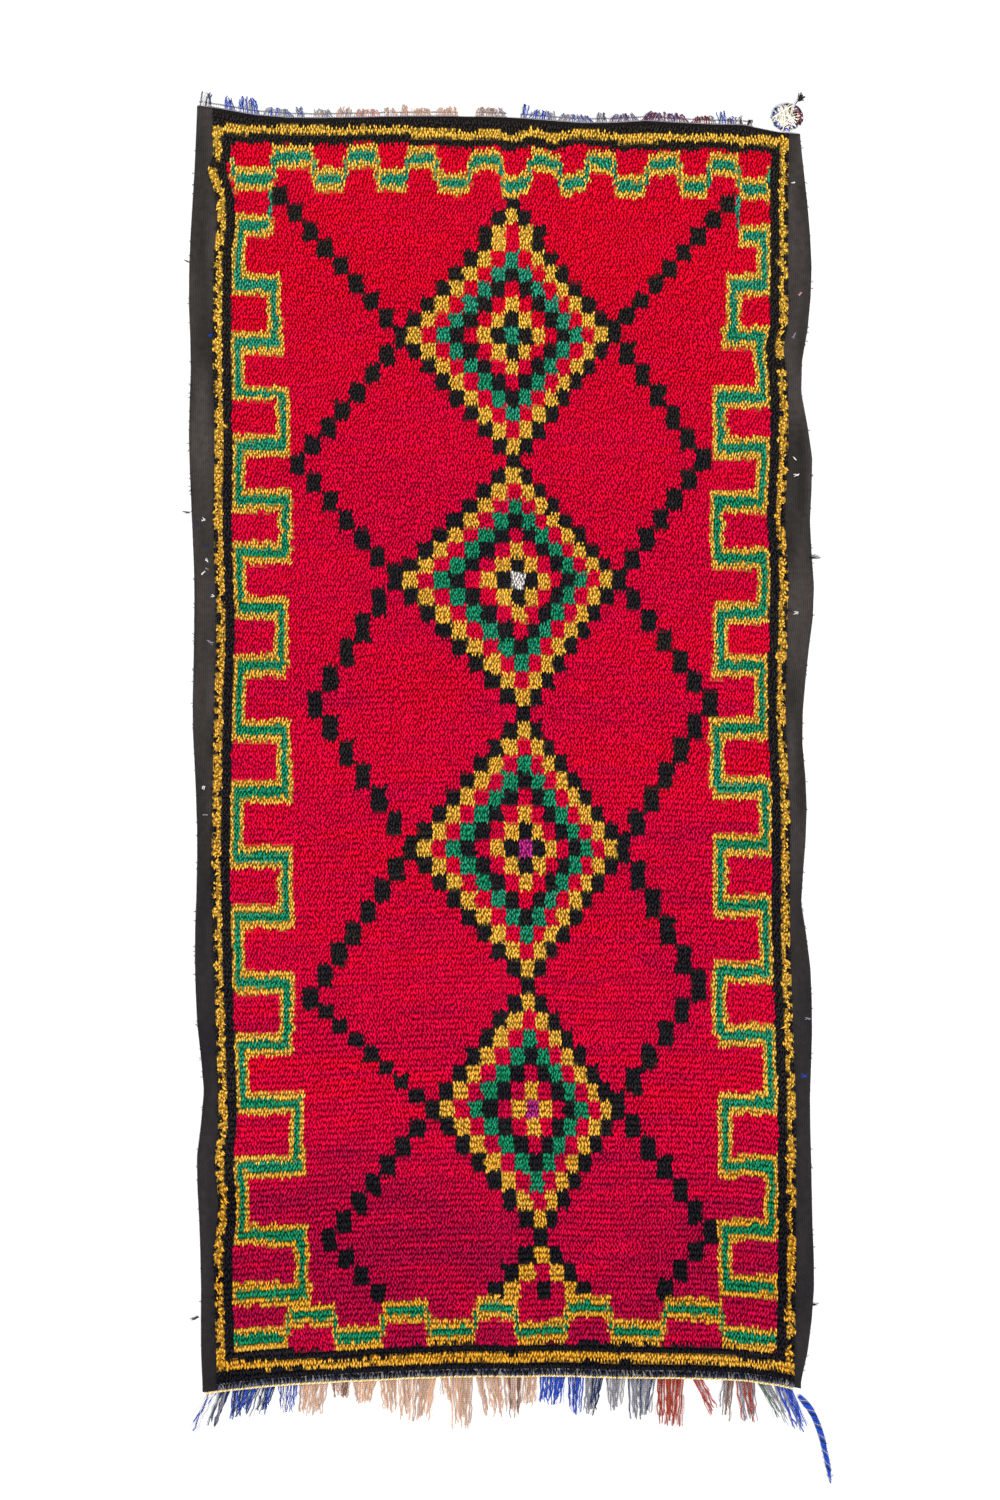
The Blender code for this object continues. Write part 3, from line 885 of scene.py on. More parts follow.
def spikes(root, middle, tip, root_half, middle_half, turn, values):
    """Closed strands of pile: a ring of three points at the foot, one at the bend, and the tip.

    Each ring stands round its middle: half the width times the cosine of the turn across the strand's
    lean, and times the sine of it upwards."""
    count = len(root)
    lean = tip - root
    level = np.stack([-lean[:, 1], lean[:, 0], np.zeros(count)], 1)
    level /= np.maximum(np.linalg.norm(level, axis=1), 1e-6)[:, None]
    angle = turn[:, None] + np.arange(3) * 2 * np.pi / 3
    across = level[:, None] * np.cos(angle)[..., None]
    upward = np.array([0.0, 0.0, 1.0]) * np.sin(angle)[..., None]
    forward = np.stack([lean[:, 0], lean[:, 1], np.zeros(count)], 1)
    forward /= np.maximum(np.linalg.norm(forward, axis=1), 1e-6)[:, None]
    flat = forward[:, None] * np.sin(angle)[..., None]
    foot_ring = root[:, None] + root_half[:, None, None] * (across - flat)
    bend_ring = middle[:, None] + middle_half[:, None, None] * (across + 0.75 * upward - 0.5 * flat)
    points = np.concatenate([foot_ring, bend_ring, tip[:, None]], 1).reshape(-1, 3)
    faces = [(i, (i + 1) % 3, 3 + (i + 1) % 3, 3 + i) for i in range(3)]
    faces += [(3 + i, 3 + (i + 1) % 3, 6) for i in range(3)] + [(0, 2, 1)]
    spots = np.array([(0.0, 0.0), (0.5, 0.12), (1.0, 0.0), (0.0, 0.5), (0.5, 0.55), (1.0, 0.5), (0.5, 1.0)])
    corners = np.array([i for face in faces for i in face])
    sizes = np.array([len(face) for face in faces])
    corners, sizes, uv = repeated(corners, sizes, spots[corners], 7, count)
    return {"points": points, "corners": corners, "sizes": sizes, "uv": uv, "values": values}


def tubes(paths, radii, sides, colours, tones, upright=(0.0, 0.0, 1.0)):
    """Closed tubes along count paths of m places each, with a point at both ends.

    A ring's point is the path's place plus the radius times the cosine of its angle across the path and
    the sine of it over the path. The ring value keeps that cosine and sine and the metres run so far."""
    count, m, _ = paths.shape
    run = np.gradient(paths, axis=1)
    run /= np.maximum(np.linalg.norm(run, axis=2, keepdims=True), 1e-9)
    across = np.cross(run, np.array(upright))
    across /= np.maximum(np.linalg.norm(across, axis=2, keepdims=True), 1e-9)
    over = np.cross(across, run)
    angle = np.arange(sides) * 2 * np.pi / sides
    ring = across[:, :, None] * np.cos(angle)[:, None] + over[:, :, None] * np.sin(angle)[:, None]
    body = paths[:, :, None] + radii[:, :, None, None] * ring
    ends = paths[:, [0, -1]] + run[:, [0, -1]] * (radii[:, [0, -1]] * (-0.8, 0.8))[..., None]
    points = np.concatenate([body.reshape(count, -1, 3), ends], 1).reshape(-1, 3)
    metres = np.concatenate(
        [np.zeros((count, 1)), np.cumsum(np.linalg.norm(np.diff(paths, axis=1), axis=2), axis=1)], 1
    )
    faces, spots = [], []
    for j in range(m - 1):
        for s in range(sides):
            after = (s + 1) % sides
            faces.append((j * sides + s, j * sides + after, (j + 1) * sides + after, (j + 1) * sides + s))
            spots += [(s, j + 1), (s + 1, j + 1), (s + 1, j + 2), (s, j + 2)]
    for s in range(sides):
        after = (s + 1) % sides
        faces.append((m * sides, after, s))
        spots += [(s + 0.5, 0), (s + 1, 1), (s, 1)]
        faces.append((m * sides + 1, (m - 1) * sides + s, (m - 1) * sides + after))
        spots += [(s + 0.5, m + 1), (s, m), (s + 1, m)]
    each = m * sides + 2
    spots = np.array(spots, float) / (sides, m + 1)
    corners = np.array([i for face in faces for i in face])
    corners, sizes, uv = repeated(corners, np.array([len(face) for face in faces]), spots, each, count)
    ring_value = np.zeros((count, each, 3))
    ring_value[:, :-2, 0] = np.tile(np.cos(angle), m)
    ring_value[:, :-2, 1] = np.tile(np.sin(angle), m)
    ring_value[:, :-2, 2] = np.repeat(metres, sides, axis=1)
    ring_value[:, -1, 2] = metres[:, -1]
    values = {
        "ring": ring_value.reshape(-1, 3),
        "yarn_colour": np.repeat(np.concatenate([colours, np.ones((count, 1))], 1), each, axis=0),
        "tone_and_painted_shade": np.repeat(tones, each),
    }
    return {"points": points, "corners": corners, "sizes": sizes, "uv": uv, "values": values}


def volume(shape):
    """Signed volume of a closed shape, above zero when its faces point outwards: each face is a fan of
    triangles, and each triangle adds a sixth of its corners' triple product."""
    starts = np.cumsum(shape["sizes"]) - shape["sizes"]
    total = 0.0
    for step in (1, 2):
        has = shape["sizes"] > step + 1
        a, b, c = (shape["points"][shape["corners"][starts[has] + i]] for i in (0, step, step + 1))
        total += float(np.einsum("ij,ij->i", a, np.cross(b, c)).sum() / 6)
    return total


# %% [markdown]
# ## The pile
#
# Knots stand in rows across the rug, two strands to a knot, and the comb beats every row down so that
# the wool leans towards the near end. Each strand here is one spike that rises from the ground and bends
# over. The yarn is chosen at the place where the strand shows and not at its foot, so that the motifs
# stay where the weaver saw them. In the near third the rows part, which gives the dark lines across.
# One soft trough runs down the middle, where the rug lay folded for years.

# %% Folds, ripples and the parting of the rows
PILE_HEIGHT = 0.0122
FOLD_DEPTH, FOLD_HALF = 0.0030, 0.024
FOLD_LINE = -0.002
RIPPLE, RIPPLE_LENGTH = 0.0009, 0.46
END_DROP, END_REACH = 0.0035, 0.016  # the pile is lower where it stops at the far end
# Columns: along, how far the rows part.
PARTING = (
    (1.50, 0.12),
    (0.90, 0.10),
    (0.50, 0.20),
    (0.10, 0.38),
    (-0.30, 0.50),
    (-0.60, 0.62),
    (-0.90, 0.85),
    (-1.48, 1.00),
)


def fold_at(x):
    """The trough of the old fold, from 0 beside it to 1 at its bottom: a bell curve across."""
    return np.exp(-(((x - FOLD_LINE) / FOLD_HALF) ** 2))


def pile_top(x, y):
    """Height of the pile: level, less the fold, plus slow ripples, and lower at the far end."""
    ripple = RIPPLE * np.sin(2 * np.pi * y / RIPPLE_LENGTH + 2.2 * x)
    end = END_DROP * ease(1 - (far_end(x) - y) / END_REACH)
    return PILE_HEIGHT - FOLD_DEPTH * fold_at(x) + ripple - end


# %% Place the strands
KNOT_ROWS = 214
COLUMNS = 171
PILE_SIDE = 0.0125  # how far the first knots stand outside the side lines' middles
WEB_LENGTH = 0.0075  # flat weave left bare at the near end
GROUND = 0.0026  # height at which the strands leave the ground
LEAN = 0.0122


def strand_places():
    """Shares along and across for every half knot, the upper half of each row set half a knot aside."""
    half_rows = 2 * KNOT_ROWS
    row, column = np.meshgrid(np.arange(half_rows), np.arange(COLUMNS), indexing="ij")
    along = (row + 0.5) / half_rows
    across = (column + 0.5 + 0.5 * (row % 2) - 0.25) / COLUMNS
    x, y = on_cloth(
        along, across,
        lambda at: side_line(at, -1) - PILE_SIDE, lambda at: side_line(at, 1) + PILE_SIDE,
        lambda at: near_end(at) + WEB_LENGTH, lambda at: far_end(at) - 0.002,
    )
    return x.ravel(), y.ravel(), row.ravel(), column.ravel()


rng = np.random.default_rng(7)
root_x, root_y, half_row, knot_column = strand_places()
strands = len(root_x)
row_pitch = CLOTH_LENGTH / KNOT_ROWS
parting = through(PARTING, 1, root_y) * (0.55 + 0.9 * patches(root_x, root_y, 0.30, 0.012, 31))
root_y = root_y + 0.005 * (patches(root_x, root_y, 0.24, 0.05, 32) - 0.5)
root_y = root_y - (half_row % 2) * np.clip(parting, 0, 1) * row_pitch * 0.22
root_x = root_x + rng.normal(0, 0.0011, strands)
root_y = root_y + rng.normal(0, 0.0013, strands)

to_line = np.abs(root_x - np.where(root_x < 0, side_line(root_y, -1), side_line(root_y, 1)))
frayed = ease(1 - to_line / 0.016)  # the knots of the side lines stick out sideways
sway = 0.005 * (patches(root_x, root_y, 0.035, 0.045, 33) - 0.5) + rng.normal(0, 0.0010, strands)
sway = sway + 0.0055 * np.sign(root_x - FOLD_LINE) * np.exp(-(((root_x - FOLD_LINE) / 0.011) ** 2))
sway = sway + frayed * rng.normal(0, 0.0075, strands)
reach = LEAN * (1 + 0.16 * rng.standard_normal(strands)) * (1 - 0.35 * frayed)
show_x = root_x + 0.6 * sway
show_y = root_y - 0.62 * reach
yarn_of = design(show_x, show_y)
print(strands, "strands,", {name: int((yarn_of == i).sum()) for i, name in enumerate(YARNS)})

# %% Shape the strands and give them their dye, random tone and painted shade
STRAND_HALF = 0.00265


def strand_shape(chosen):
    """The spikes of the chosen strands: up from the ground, over at the bend and down to the tip."""
    n = len(chosen)
    draw = np.random.default_rng(41 + n)
    x, y, go_x, go_y = root_x[chosen], root_y[chosen], sway[chosen], -reach[chosen]
    top = pile_top(x, y) * (1 + 0.07 * draw.standard_normal(n))
    root = np.stack([x, y, np.full(n, GROUND)], 1)
    middle = np.stack([x + 0.42 * go_x, y + 0.40 * go_y, top * 0.86], 1)
    tip = np.stack([x + go_x, y + go_y, top * (0.94 + 0.10 * draw.standard_normal(n))], 1)
    tip[:, 2] = np.clip(tip[:, 2], 0.004, 0.0150)
    half = STRAND_HALF * (1 + 0.14 * draw.standard_normal(n))
    run = np.random.default_rng(43).random((KNOT_ROWS + 1, COLUMNS // 5 + 2))
    hank = run[half_row[chosen] // 2, (knot_column[chosen] + 3 * (half_row[chosen] // 2)) % COLUMNS // 5]
    dye = dye_at(root[:, 0], root[:, 1]) + 0.16 * (hank - 0.5) + 0.06 * draw.standard_normal(n)
    tone_and_painted_shade = 1.0 + 0.09 * draw.standard_normal(n) + 0.10 * (hank - 0.5)
    # Painted shade: each strand is darkest at its foot, in the shade of the pile, lighter at the bend and
    # brightest at the tip, times its random tone.
    foot, bend, end = 0.50 * tone_and_painted_shade, 0.93 * tone_and_painted_shade, 1.04 * tone_and_painted_shade
    values = {
        "dye": np.repeat(np.clip(dye, 0, 1), 7),
        "tone_and_painted_shade": np.stack([foot] * 3 + [bend] * 3 + [end], 1).ravel(),
    }
    turn = draw.uniform(0, 2 * np.pi, n) * 0.25 + np.pi / 6
    return spikes(root, middle, tip, half * 0.85, half, turn, values)


PIECE_LIMIT = 19000  # strands in one piece, ten triangles each
for index, name in enumerate(YARNS):
    mine = np.flatnonzero(yarn_of == index)
    if len(mine) == 0:
        continue
    material = pile_material(f"wool_{name}", DYES[name])
    parts = int(np.ceil(len(mine) / PIECE_LIMIT))
    for part in range(parts):
        label = f"pile_{name}" + (f"_{part + 1}" if parts > 1 else "")
        shape = strand_shape(mine[part::parts])
        if part == 0:
            print(f"{name}: volume {volume(shape) * 1e6:.0f} cubic centimetres")
        make_piece(label, shape, material, "rug_body")

# %% [markdown]
# ## The woven ground and the selvages
#
# Under the knots lies the ground weave, and at both sides it goes on as a flat band of charcoal wool. It
# is one cloth, so it is one closed thin sheet: a grid of places on the cloth, its top a few millimetres
# above its underside. Each face carries the yarn of its knot, so the underside shows the design flat,
# as a real rug's back does. On top, under the pile, that colour is darkened as painted shade, so the
# gaps between the strands look shadowed. The sheet's own metres in from the edge drive the ribs, so
# that they follow the crooked selvage.

# %% Weave the ground
SELVAGE_COLUMNS, FIELD_COLUMNS, GROUND_ROWS = 8, 128, 216
SELVAGE_TOP, FIELD_TOP = 0.0046, 0.0034
EDGE_ROLL = 0.0022


def ground_shape():
    """A grid of columns and rows of the cloth, twice: the top at its height, the underside on the floor."""
    field = np.linspace(0, 1, FIELD_COLUMNS + 1)
    share = np.linspace(0, 1, SELVAGE_COLUMNS + 1)
    along = np.linspace(0, 1, GROUND_ROWS + 1)[:, None]

    def band(from_edge, to_edge, shares):
        return on_cloth(
            along + 0 * shares[None], 0 * along + shares[None], from_edge, to_edge, near_end, far_end
        )

    inner_left, inner_right = (
        (lambda at: side_line(at, -1) - PILE_SIDE), (lambda at: side_line(at, 1) + PILE_SIDE)
    )
    bands = [
        band(left_edge, inner_left, share[:-1]),
        band(inner_left, inner_right, field),
        band(inner_right, right_edge, share[1:]),
    ]
    x = np.concatenate([b[0] for b in bands], 1)
    y = np.concatenate([b[1] for b in bands], 1)
    rows, columns = x.shape
    in_from_edge = np.minimum(x - left_edge(y), right_edge(y) - x)
    selvage = np.zeros(x.shape)
    selvage[:, :SELVAGE_COLUMNS + 1] = 1.0
    selvage[:, -SELVAGE_COLUMNS - 1:] = 1.0
    top = FIELD_TOP + (SELVAGE_TOP - FIELD_TOP) * selvage
    top += selvage * 0.0007 * (patches(x, y, 0.011, 0.05, 51) - 0.5) * 2
    top -= EDGE_ROLL * ease(1 - in_from_edge / 0.005)
    points = np.concatenate([
        np.stack([x, y, top], 2).reshape(-1, 3), np.stack([x, y, 0 * x], 2).reshape(-1, 3)
    ])
    index = np.arange(rows * columns).reshape(rows, columns)
    quads = np.stack([index[:-1, :-1], index[:-1, 1:], index[1:, 1:], index[1:, :-1]], 2).reshape(-1, 4)
    below = quads[:, ::-1] + rows * columns
    rim = np.concatenate([index[0], index[1:, -1], index[-1, -2::-1], index[-2:0:-1, 0]])
    after = np.roll(rim, -1)
    walls = np.stack([after, rim, rim + rows * columns, after + rows * columns], 1)
    faces = np.concatenate([quads, below, walls])
    u = (x - cad_low[0]) / (cad_high[0] - cad_low[0]) * 0.49
    v = (y - cad_low[1]) / (cad_high[1] - cad_low[1])
    spots = np.concatenate([np.stack([u, v], 2).reshape(-1, 2), np.stack([u + 0.5, v], 2).reshape(-1, 2)])
    wall_spots = spots[walls]
    wall_spots[:, 2:] = wall_spots[:, :2][:, ::-1] + (0.003, 0.0)
    uv = np.concatenate([spots[quads].reshape(-1, 2), spots[below].reshape(-1, 2), wall_spots.reshape(-1, 2)])
    middle_x, middle_y = points[quads, 0].mean(1), points[quads, 1].mean(1)
    yarn = design(middle_x, middle_y)
    ground_colour = colour_of(yarn, dye_at(middle_x, middle_y))
    is_selvage = (selvage.ravel()[quads].mean(1) > 0.99)[:, None]
    wear = patches(middle_x, middle_y, 0.03, 0.12, 52)[:, None]
    bare = blend(hex_colour("2b2826"), hex_colour("4a4441"), wear)
    bare = blend(bare, hex_colour("211f24"), ease((0.2 - middle_y) / 1.0)[:, None] * 0.7)
    web = (middle_y < near_end(middle_x) + WEB_LENGTH)[:, None]
    thread = patches(middle_x, middle_y, 0.006, 0.1, 53)[:, None]
    ground_colour = np.where(web, blend(hex_colour("5a6690"), hex_colour("cfcac8"), ease(thread * 1.6 - 0.3)), ground_colour)
    # Painted shade: the field's top, under the pile, is darkened to 0.62 of its colour so the gaps between
    # strands look shadowed; the underside is darker as well, at 0.80.
    upper = np.where(is_selvage, bare, ground_colour * 0.62)
    lower = np.where(is_selvage, bare, ground_colour * 0.80)
    wall = np.repeat(hex_colour("2b2826")[None], len(walls), 0)
    colour = np.concatenate([upper, lower, wall])
    weave = np.stack([in_from_edge, y, 0 * x], 2).reshape(-1, 3)
    return {
        "points": points,
        "corners": faces.ravel(),
        "sizes": np.full(len(faces), 4),
        "uv": uv,
        "values": {
            "yarn_colour": np.concatenate([colour, np.ones((len(colour), 1))], 1),
            "weave": np.concatenate([weave, weave]),
        },
    }


shape = ground_shape()
print(f"ground volume {volume(shape) * 1e3:.1f} litres")
ground = make_piece("woven_ground", shape, ground_material(), "rug_body")

# %% [markdown]
# ## The twined cord of the near end
#
# To lock the first rows, the weaver twines two yarns, one white and one yellow, round each other through
# the warp ends. Two helices half a turn apart, carried along the near edge, are just that, and the white
# and yellow stitches come out of the geometry by themselves.

# %% Twine the end cord
HUES = {
    "royal": "2348b4", "navy": "26345c", "taupe": "c9a48f", "beige": "dcae8c", "grey": "8a8790",
    "rust": "a63d2a", "pink": "cf8f95", "white": "e9e6e2", "moss": "66786c", "brown": "7d5c4d",
    "cream": "efe3bd", "gold": "e0b93e", "black": "242228", "wine": "6e1a2c", "violet": "5a3f6e",
}
CORD_FROM, CORD_TO = -0.712, 0.700
CORD_OUT, CORD_LIFT = 0.0040, 0.0034  # the cord's middle, out from the edge and up from the floor
CORD_TWIST, CORD_YARN = 0.0016, 0.0017  # radius of the twist and of each yarn
CORD_PITCH, CORD_TURN_POINTS = 0.0125, 9


def hues(names):
    return np.array([hex_colour(HUES[name]) for name in names])


def twined(x, y, lift, twist, yarn, pitch, sides, names):
    """Yarns wound round one path: out and up by the twist's radius times the sine and cosine of an angle
    that makes a turn in each pitch, the yarns evenly apart."""
    run = np.concatenate([[0.0], np.cumsum(np.hypot(np.diff(x), np.diff(y)))])
    heading = np.stack([np.gradient(x), np.gradient(y)], 1)
    heading /= np.linalg.norm(heading, axis=1, keepdims=True)
    paths = []
    for k in range(len(names)):
        angle = 2 * np.pi * (run / pitch + k / len(names))
        out = twist * np.sin(angle)
        paths.append(np.stack(
            [x - heading[:, 1] * out, y + heading[:, 0] * out, lift + twist * np.cos(angle)], 1
        ))
    paths = np.array(paths)
    tones = 1.0 + 0.1 * (np.arange(len(names)) % 2)
    return tubes(paths, np.full(paths.shape[:2], yarn), sides, hues(names), tones)


def end_cord_shape():
    count = int((CORD_TO - CORD_FROM) / CORD_PITCH * CORD_TURN_POINTS)
    x = np.linspace(CORD_FROM, CORD_TO, count)
    y = near_end(x) - CORD_OUT + 0.0010 * (patches(x, 0 * x, 0.03, 1.0, 61) - 0.5)
    return twined(x, y, CORD_LIFT, CORD_TWIST, CORD_YARN, CORD_PITCH, 5, ["white", "gold"])


cord_yarn = yarn_material("twined_yarn", 0.0040, 0.30)
end_cord = make_piece("end_cord_twined", end_cord_shape(), cord_yarn, "end_cord")

# %% [markdown]
# ## The near fringe
#
# The fringe is warp left long, gathered into bunches of one colour. Each yarn starts at the cord, is
# drawn towards its bunch's middle, leans with it and crinkles where the weaving bent it. A tube per
# yarn, each with its own crinkle, length and height in the heap, makes a bunch that is ragged from
# above and from the side. A few hair-thin fibres between them soften the outline.

# %% Hang the near fringe
# Columns: from, to, sideways lean of the tips, length, main yarn, second yarn.
NEAR_BUNCHES = (
    (-0.707, -0.684, -0.050, 0.084, "royal", "white"),
    (-0.682, -0.650, -0.031, 0.080, "navy", "grey"),
    (-0.648, -0.578, -0.018, 0.066, "navy", "royal"),
    (-0.576, -0.542, -0.017, 0.065, "royal", "navy"),
    (-0.540, -0.490, -0.003, 0.060, "royal", "white"),
    (-0.487, -0.414, -0.010, 0.072, "taupe", "beige"),
    (-0.412, -0.361, 0.000, 0.037, "taupe", "brown"),
    (-0.359, -0.299, -0.004, 0.051, "beige", "taupe"),
    (-0.297, -0.246, 0.006, 0.074, "beige", "taupe"),
    (-0.244, -0.155, -0.008, 0.096, "taupe", "beige"),
    (-0.148, -0.126, 0.012, 0.056, "taupe", "beige"),
    (-0.124, -0.068, 0.000, 0.117, "taupe", "beige"),
    (-0.062, 0.000, 0.013, 0.090, "taupe", "beige"),
    (0.003, 0.050, 0.000, 0.092, "taupe", "brown"),
    (0.052, 0.087, -0.006, 0.068, "taupe", "beige"),
    (0.090, 0.155, -0.006, 0.064, "royal", "royal"),
    (0.157, 0.196, -0.004, 0.085, "royal", "navy"),
    (0.198, 0.246, -0.010, 0.086, "grey", "navy"),
    (0.248, 0.299, -0.004, 0.074, "grey", "white"),
    (0.301, 0.371, -0.004, 0.092, "grey", "navy"),
    (0.373, 0.437, -0.006, 0.107, "rust", "rust"),
    (0.457, 0.483, 0.040, 0.089, "rust", "pink"),
    (0.528, 0.559, -0.010, 0.092, "brown", "grey"),
    (0.562, 0.609, 0.012, 0.098, "grey", "rust"),
    (0.613, 0.647, 0.046, 0.086, "moss", "grey"),
    (0.650, 0.697, 0.042, 0.098, "royal", "grey"),
)
YARN_SPACING = 0.0032
FRINGE_START = 0.0072  # from the carpet's near edge to the fringe's root
FRINGE_RINGS, FRINGE_SIDES = 10, 4
BUNCH_PULL = 0.30
YARN_HALF = 0.00135


def crinkled(start, tip, height, crinkle, draw, rings):
    """Paths from start to tip: an even run, plus two sines across it that grow from the root to the tip."""
    count = len(start)
    t = np.linspace(0, 1, rings)[None]
    go = tip - start
    length = np.linalg.norm(go, axis=1)[:, None]
    aside = np.stack([-go[:, 1], go[:, 0]], 1) / length
    waves = draw.uniform(1.2, 2.6, (count, 1)), draw.uniform(3.0, 5.5, (count, 1))
    phase = draw.uniform(0, 2 * np.pi, (count, 2, 1))
    off = np.sin(2 * np.pi * waves[0] * t + phase[:, 0])
    off = off + 0.5 * np.sin(2 * np.pi * waves[1] * t + phase[:, 1])
    off = (off - off[:, :1]) * crinkle[:, None] * ease(t * 2.0)
    x = start[:, :1] + go[:, :1] * t + aside[:, :1] * off
    y = start[:, 1:] + go[:, 1:] * t + aside[:, 1:] * off
    z = blend(height[:, None], YARN_HALF, ease(t)) + 0.0008 * np.sin(7 * t + phase[:, 0])
    return np.stack([x, y, np.maximum(z, YARN_HALF * 0.9)], 2)


def bunch_paths(bunch, edge, way, start_at, draw, rings, spacing):
    """One bunch of yarns from an edge: roots spread over the bunch, tips drawn to its middle and leaning."""
    start, end, lean, length = bunch[:4]
    count = max(3, int((end - start) / spacing))
    x = np.linspace(start, end, count + 2)[1:-1] + draw.normal(0, 0.0008, count)
    tip_x = blend(x, (start + end) / 2, BUNCH_PULL) + lean * draw.uniform(0.75, 1.1, count)
    tip_x += draw.normal(0, 0.0035, count)
    reach = length * np.clip(draw.normal(0.90, 0.13, count), 0.45, 1.06)
    root_y = edge(x) + way * start_at
    roots = np.stack([x, root_y], 1)
    tips = np.stack([tip_x, root_y + way * reach], 1)
    height = draw.uniform(0.0018, 0.0052, count)
    return crinkled(roots, tips, height, np.full(count, 0.0011) * draw.uniform(0.6, 1.8, count), draw, rings)


def bunch_colours(bunch, count, draw):
    """Two thirds of a bunch in its main yarn and the rest in its second, each a little lighter or darker."""
    first, second = hues(bunch[-2:])
    pick = (draw.random(count) < 0.34)[:, None]
    return np.where(pick, second, first) * draw.uniform(0.75, 1.12, (count, 1))


def fringe_near_shape():
    draw = np.random.default_rng(71)
    paths, colours = [], []
    for bunch in NEAR_BUNCHES:
        made = bunch_paths(bunch, near_end, -1, FRINGE_START, draw, FRINGE_RINGS, YARN_SPACING)
        paths.append(made)
        colours.append(bunch_colours(bunch, len(made), draw))
    paths, colours = np.concatenate(paths), np.concatenate(colours)
    taper = np.linspace(1.0, 0.62, FRINGE_RINGS)[None]
    radii = YARN_HALF * taper * draw.uniform(0.8, 1.25, (len(paths), 1))
    yarns = tubes(paths, radii, FRINGE_SIDES, colours, draw.uniform(0.85, 1.1, len(paths)))
    chosen = draw.integers(0, len(paths), 260)
    spread = draw.normal(0, 0.004, (len(chosen), FRINGE_RINGS, 1)).cumsum(1) * 0.35
    hairs = paths[chosen] + np.concatenate([spread, 0 * spread, 0 * spread], 2)
    hairs[:, :, 2] = np.maximum(hairs[:, :, 2] + 0.0006, 0.0006)
    fuzz = tubes(hairs[:, 3:], np.full((len(chosen), FRINGE_RINGS - 3), 0.00045), 3, colours[chosen] * 1.15,
                 np.ones(len(chosen)))
    print(len(paths), "fringe yarns and", len(chosen), "loose fibres")
    return joined([yarns, fuzz])


fringe_yarn = yarn_material("fringe_yarn", 0.0046, 0.42)
fringe_near = make_piece("fringe_near_yarns", fringe_near_shape(), fringe_yarn, "fringe_near")

# %% [markdown]
# ## The worn far end
#
# At the far end the fringe has worn away. What is left is a narrow whitish web in three lengths, rows of
# weft packed over the warp, and stubs of warp above it, some blue, some taupe. Rows of yarn laid beside
# each other make the web, and short yarns that cross it and fray make the stubs.

# %% Lay the far webs and their stubs
# Columns: from, to, length, main yarn, second yarn.
FAR_STUBS = {
    "fringe_far_left": (
        (-0.728, -0.694, 0.026, "navy", "white"),
        (-0.668, -0.636, 0.023, "royal", "navy"),
        (-0.634, -0.578, 0.029, "royal", "grey"),
        (-0.574, -0.496, 0.010, "grey", "royal"),
        (-0.494, -0.470, 0.016, "grey", "royal"),
        (-0.454, -0.402, 0.011, "grey", "taupe"),
        (-0.400, -0.360, 0.016, "taupe", "grey"),
        (-0.358, -0.288, 0.009, "taupe", "pink"),
        (-0.286, -0.246, 0.011, "taupe", "white"),
        (-0.244, -0.222, 0.017, "taupe", "pink"),
        (-0.220, -0.166, 0.009, "beige", "taupe"),
        (-0.160, -0.104, 0.013, "taupe", "beige"),
    ),
    "fringe_far_middle": ((-0.064, 0.013, 0.012, "taupe", "grey"),),
    "fringe_far_right": (
        (0.044, 0.060, 0.024, "royal", "navy"),
        (0.062, 0.130, 0.013, "royal", "grey"),
        (0.132, 0.222, 0.009, "grey", "royal"),
        (0.224, 0.254, 0.017, "grey", "navy"),
        (0.256, 0.330, 0.010, "violet", "grey"),
        (0.332, 0.450, 0.013, "violet", "wine"),
        (0.452, 0.516, 0.009, "wine", "grey"),
        (0.518, 0.540, 0.022, "royal", "navy"),
        (0.542, 0.562, 0.009, "violet", "royal"),
        (0.564, 0.583, 0.015, "black", "white"),
        (0.585, 0.603, 0.005, "black", "grey"),
    ),
}
WEB_ROWS = (0.0016, 0.0044, 0.0072, 0.0098)  # middles of the web's rows, out from the far edge
WEB_HUES = ("grey", "white", "white", "grey")
WEB_YARN, WEB_STEP = 0.0017, 0.005
STUB_RINGS = 7


def far_shape(stubs, seed):
    """The web's rows of yarn, and the stubs: bunches as at the near end, but short and uneven."""
    draw = np.random.default_rng(seed)
    start, end = stubs[0][0] + 0.002, stubs[-1][1] - 0.002
    x = np.linspace(start, end, int((end - start) / WEB_STEP) + 2)
    rows = []
    for row in WEB_ROWS:
        out = far_end(x) + row + draw.normal(0, 0.0003, len(x))
        rows.append(np.stack([x, out, 0.0019 + draw.normal(0, 0.0002, len(x))], 1))
    rows = np.array(rows)
    web = tubes(rows, np.full(rows.shape[:2], WEB_YARN), 6, hues(WEB_HUES), np.ones(len(rows)))
    paths, colours = [], []
    for low, high, length, main, second in stubs:
        bunch = (low, high, draw.normal(0, 0.003), length + 0.008, main, second)
        made = bunch_paths(bunch, far_end, 1, 0.0022, draw, STUB_RINGS, 0.0034)
        made[:, :, 2] += 0.0022 * np.sin(np.linspace(0.3, 3.0, STUB_RINGS))
        paths.append(made)
        colours.append(bunch_colours(bunch, len(made), draw))
    paths, colours = np.concatenate(paths), np.concatenate(colours)
    taper = np.linspace(0.7, 1.0, STUB_RINGS)[None]
    radii = YARN_HALF * taper * draw.uniform(0.6, 1.2, (len(paths), 1))
    return joined([web, tubes(paths, radii, 4, colours, draw.uniform(0.8, 1.1, len(paths)))])


web_yarn = yarn_material("web_yarn", 0.0055, 0.55)
far_pieces = [
    make_piece(f"{node}_yarns", far_shape(stubs, 81 + k), web_yarn, node)
    for k, (node, stubs) in enumerate(FAR_STUBS.items())
]

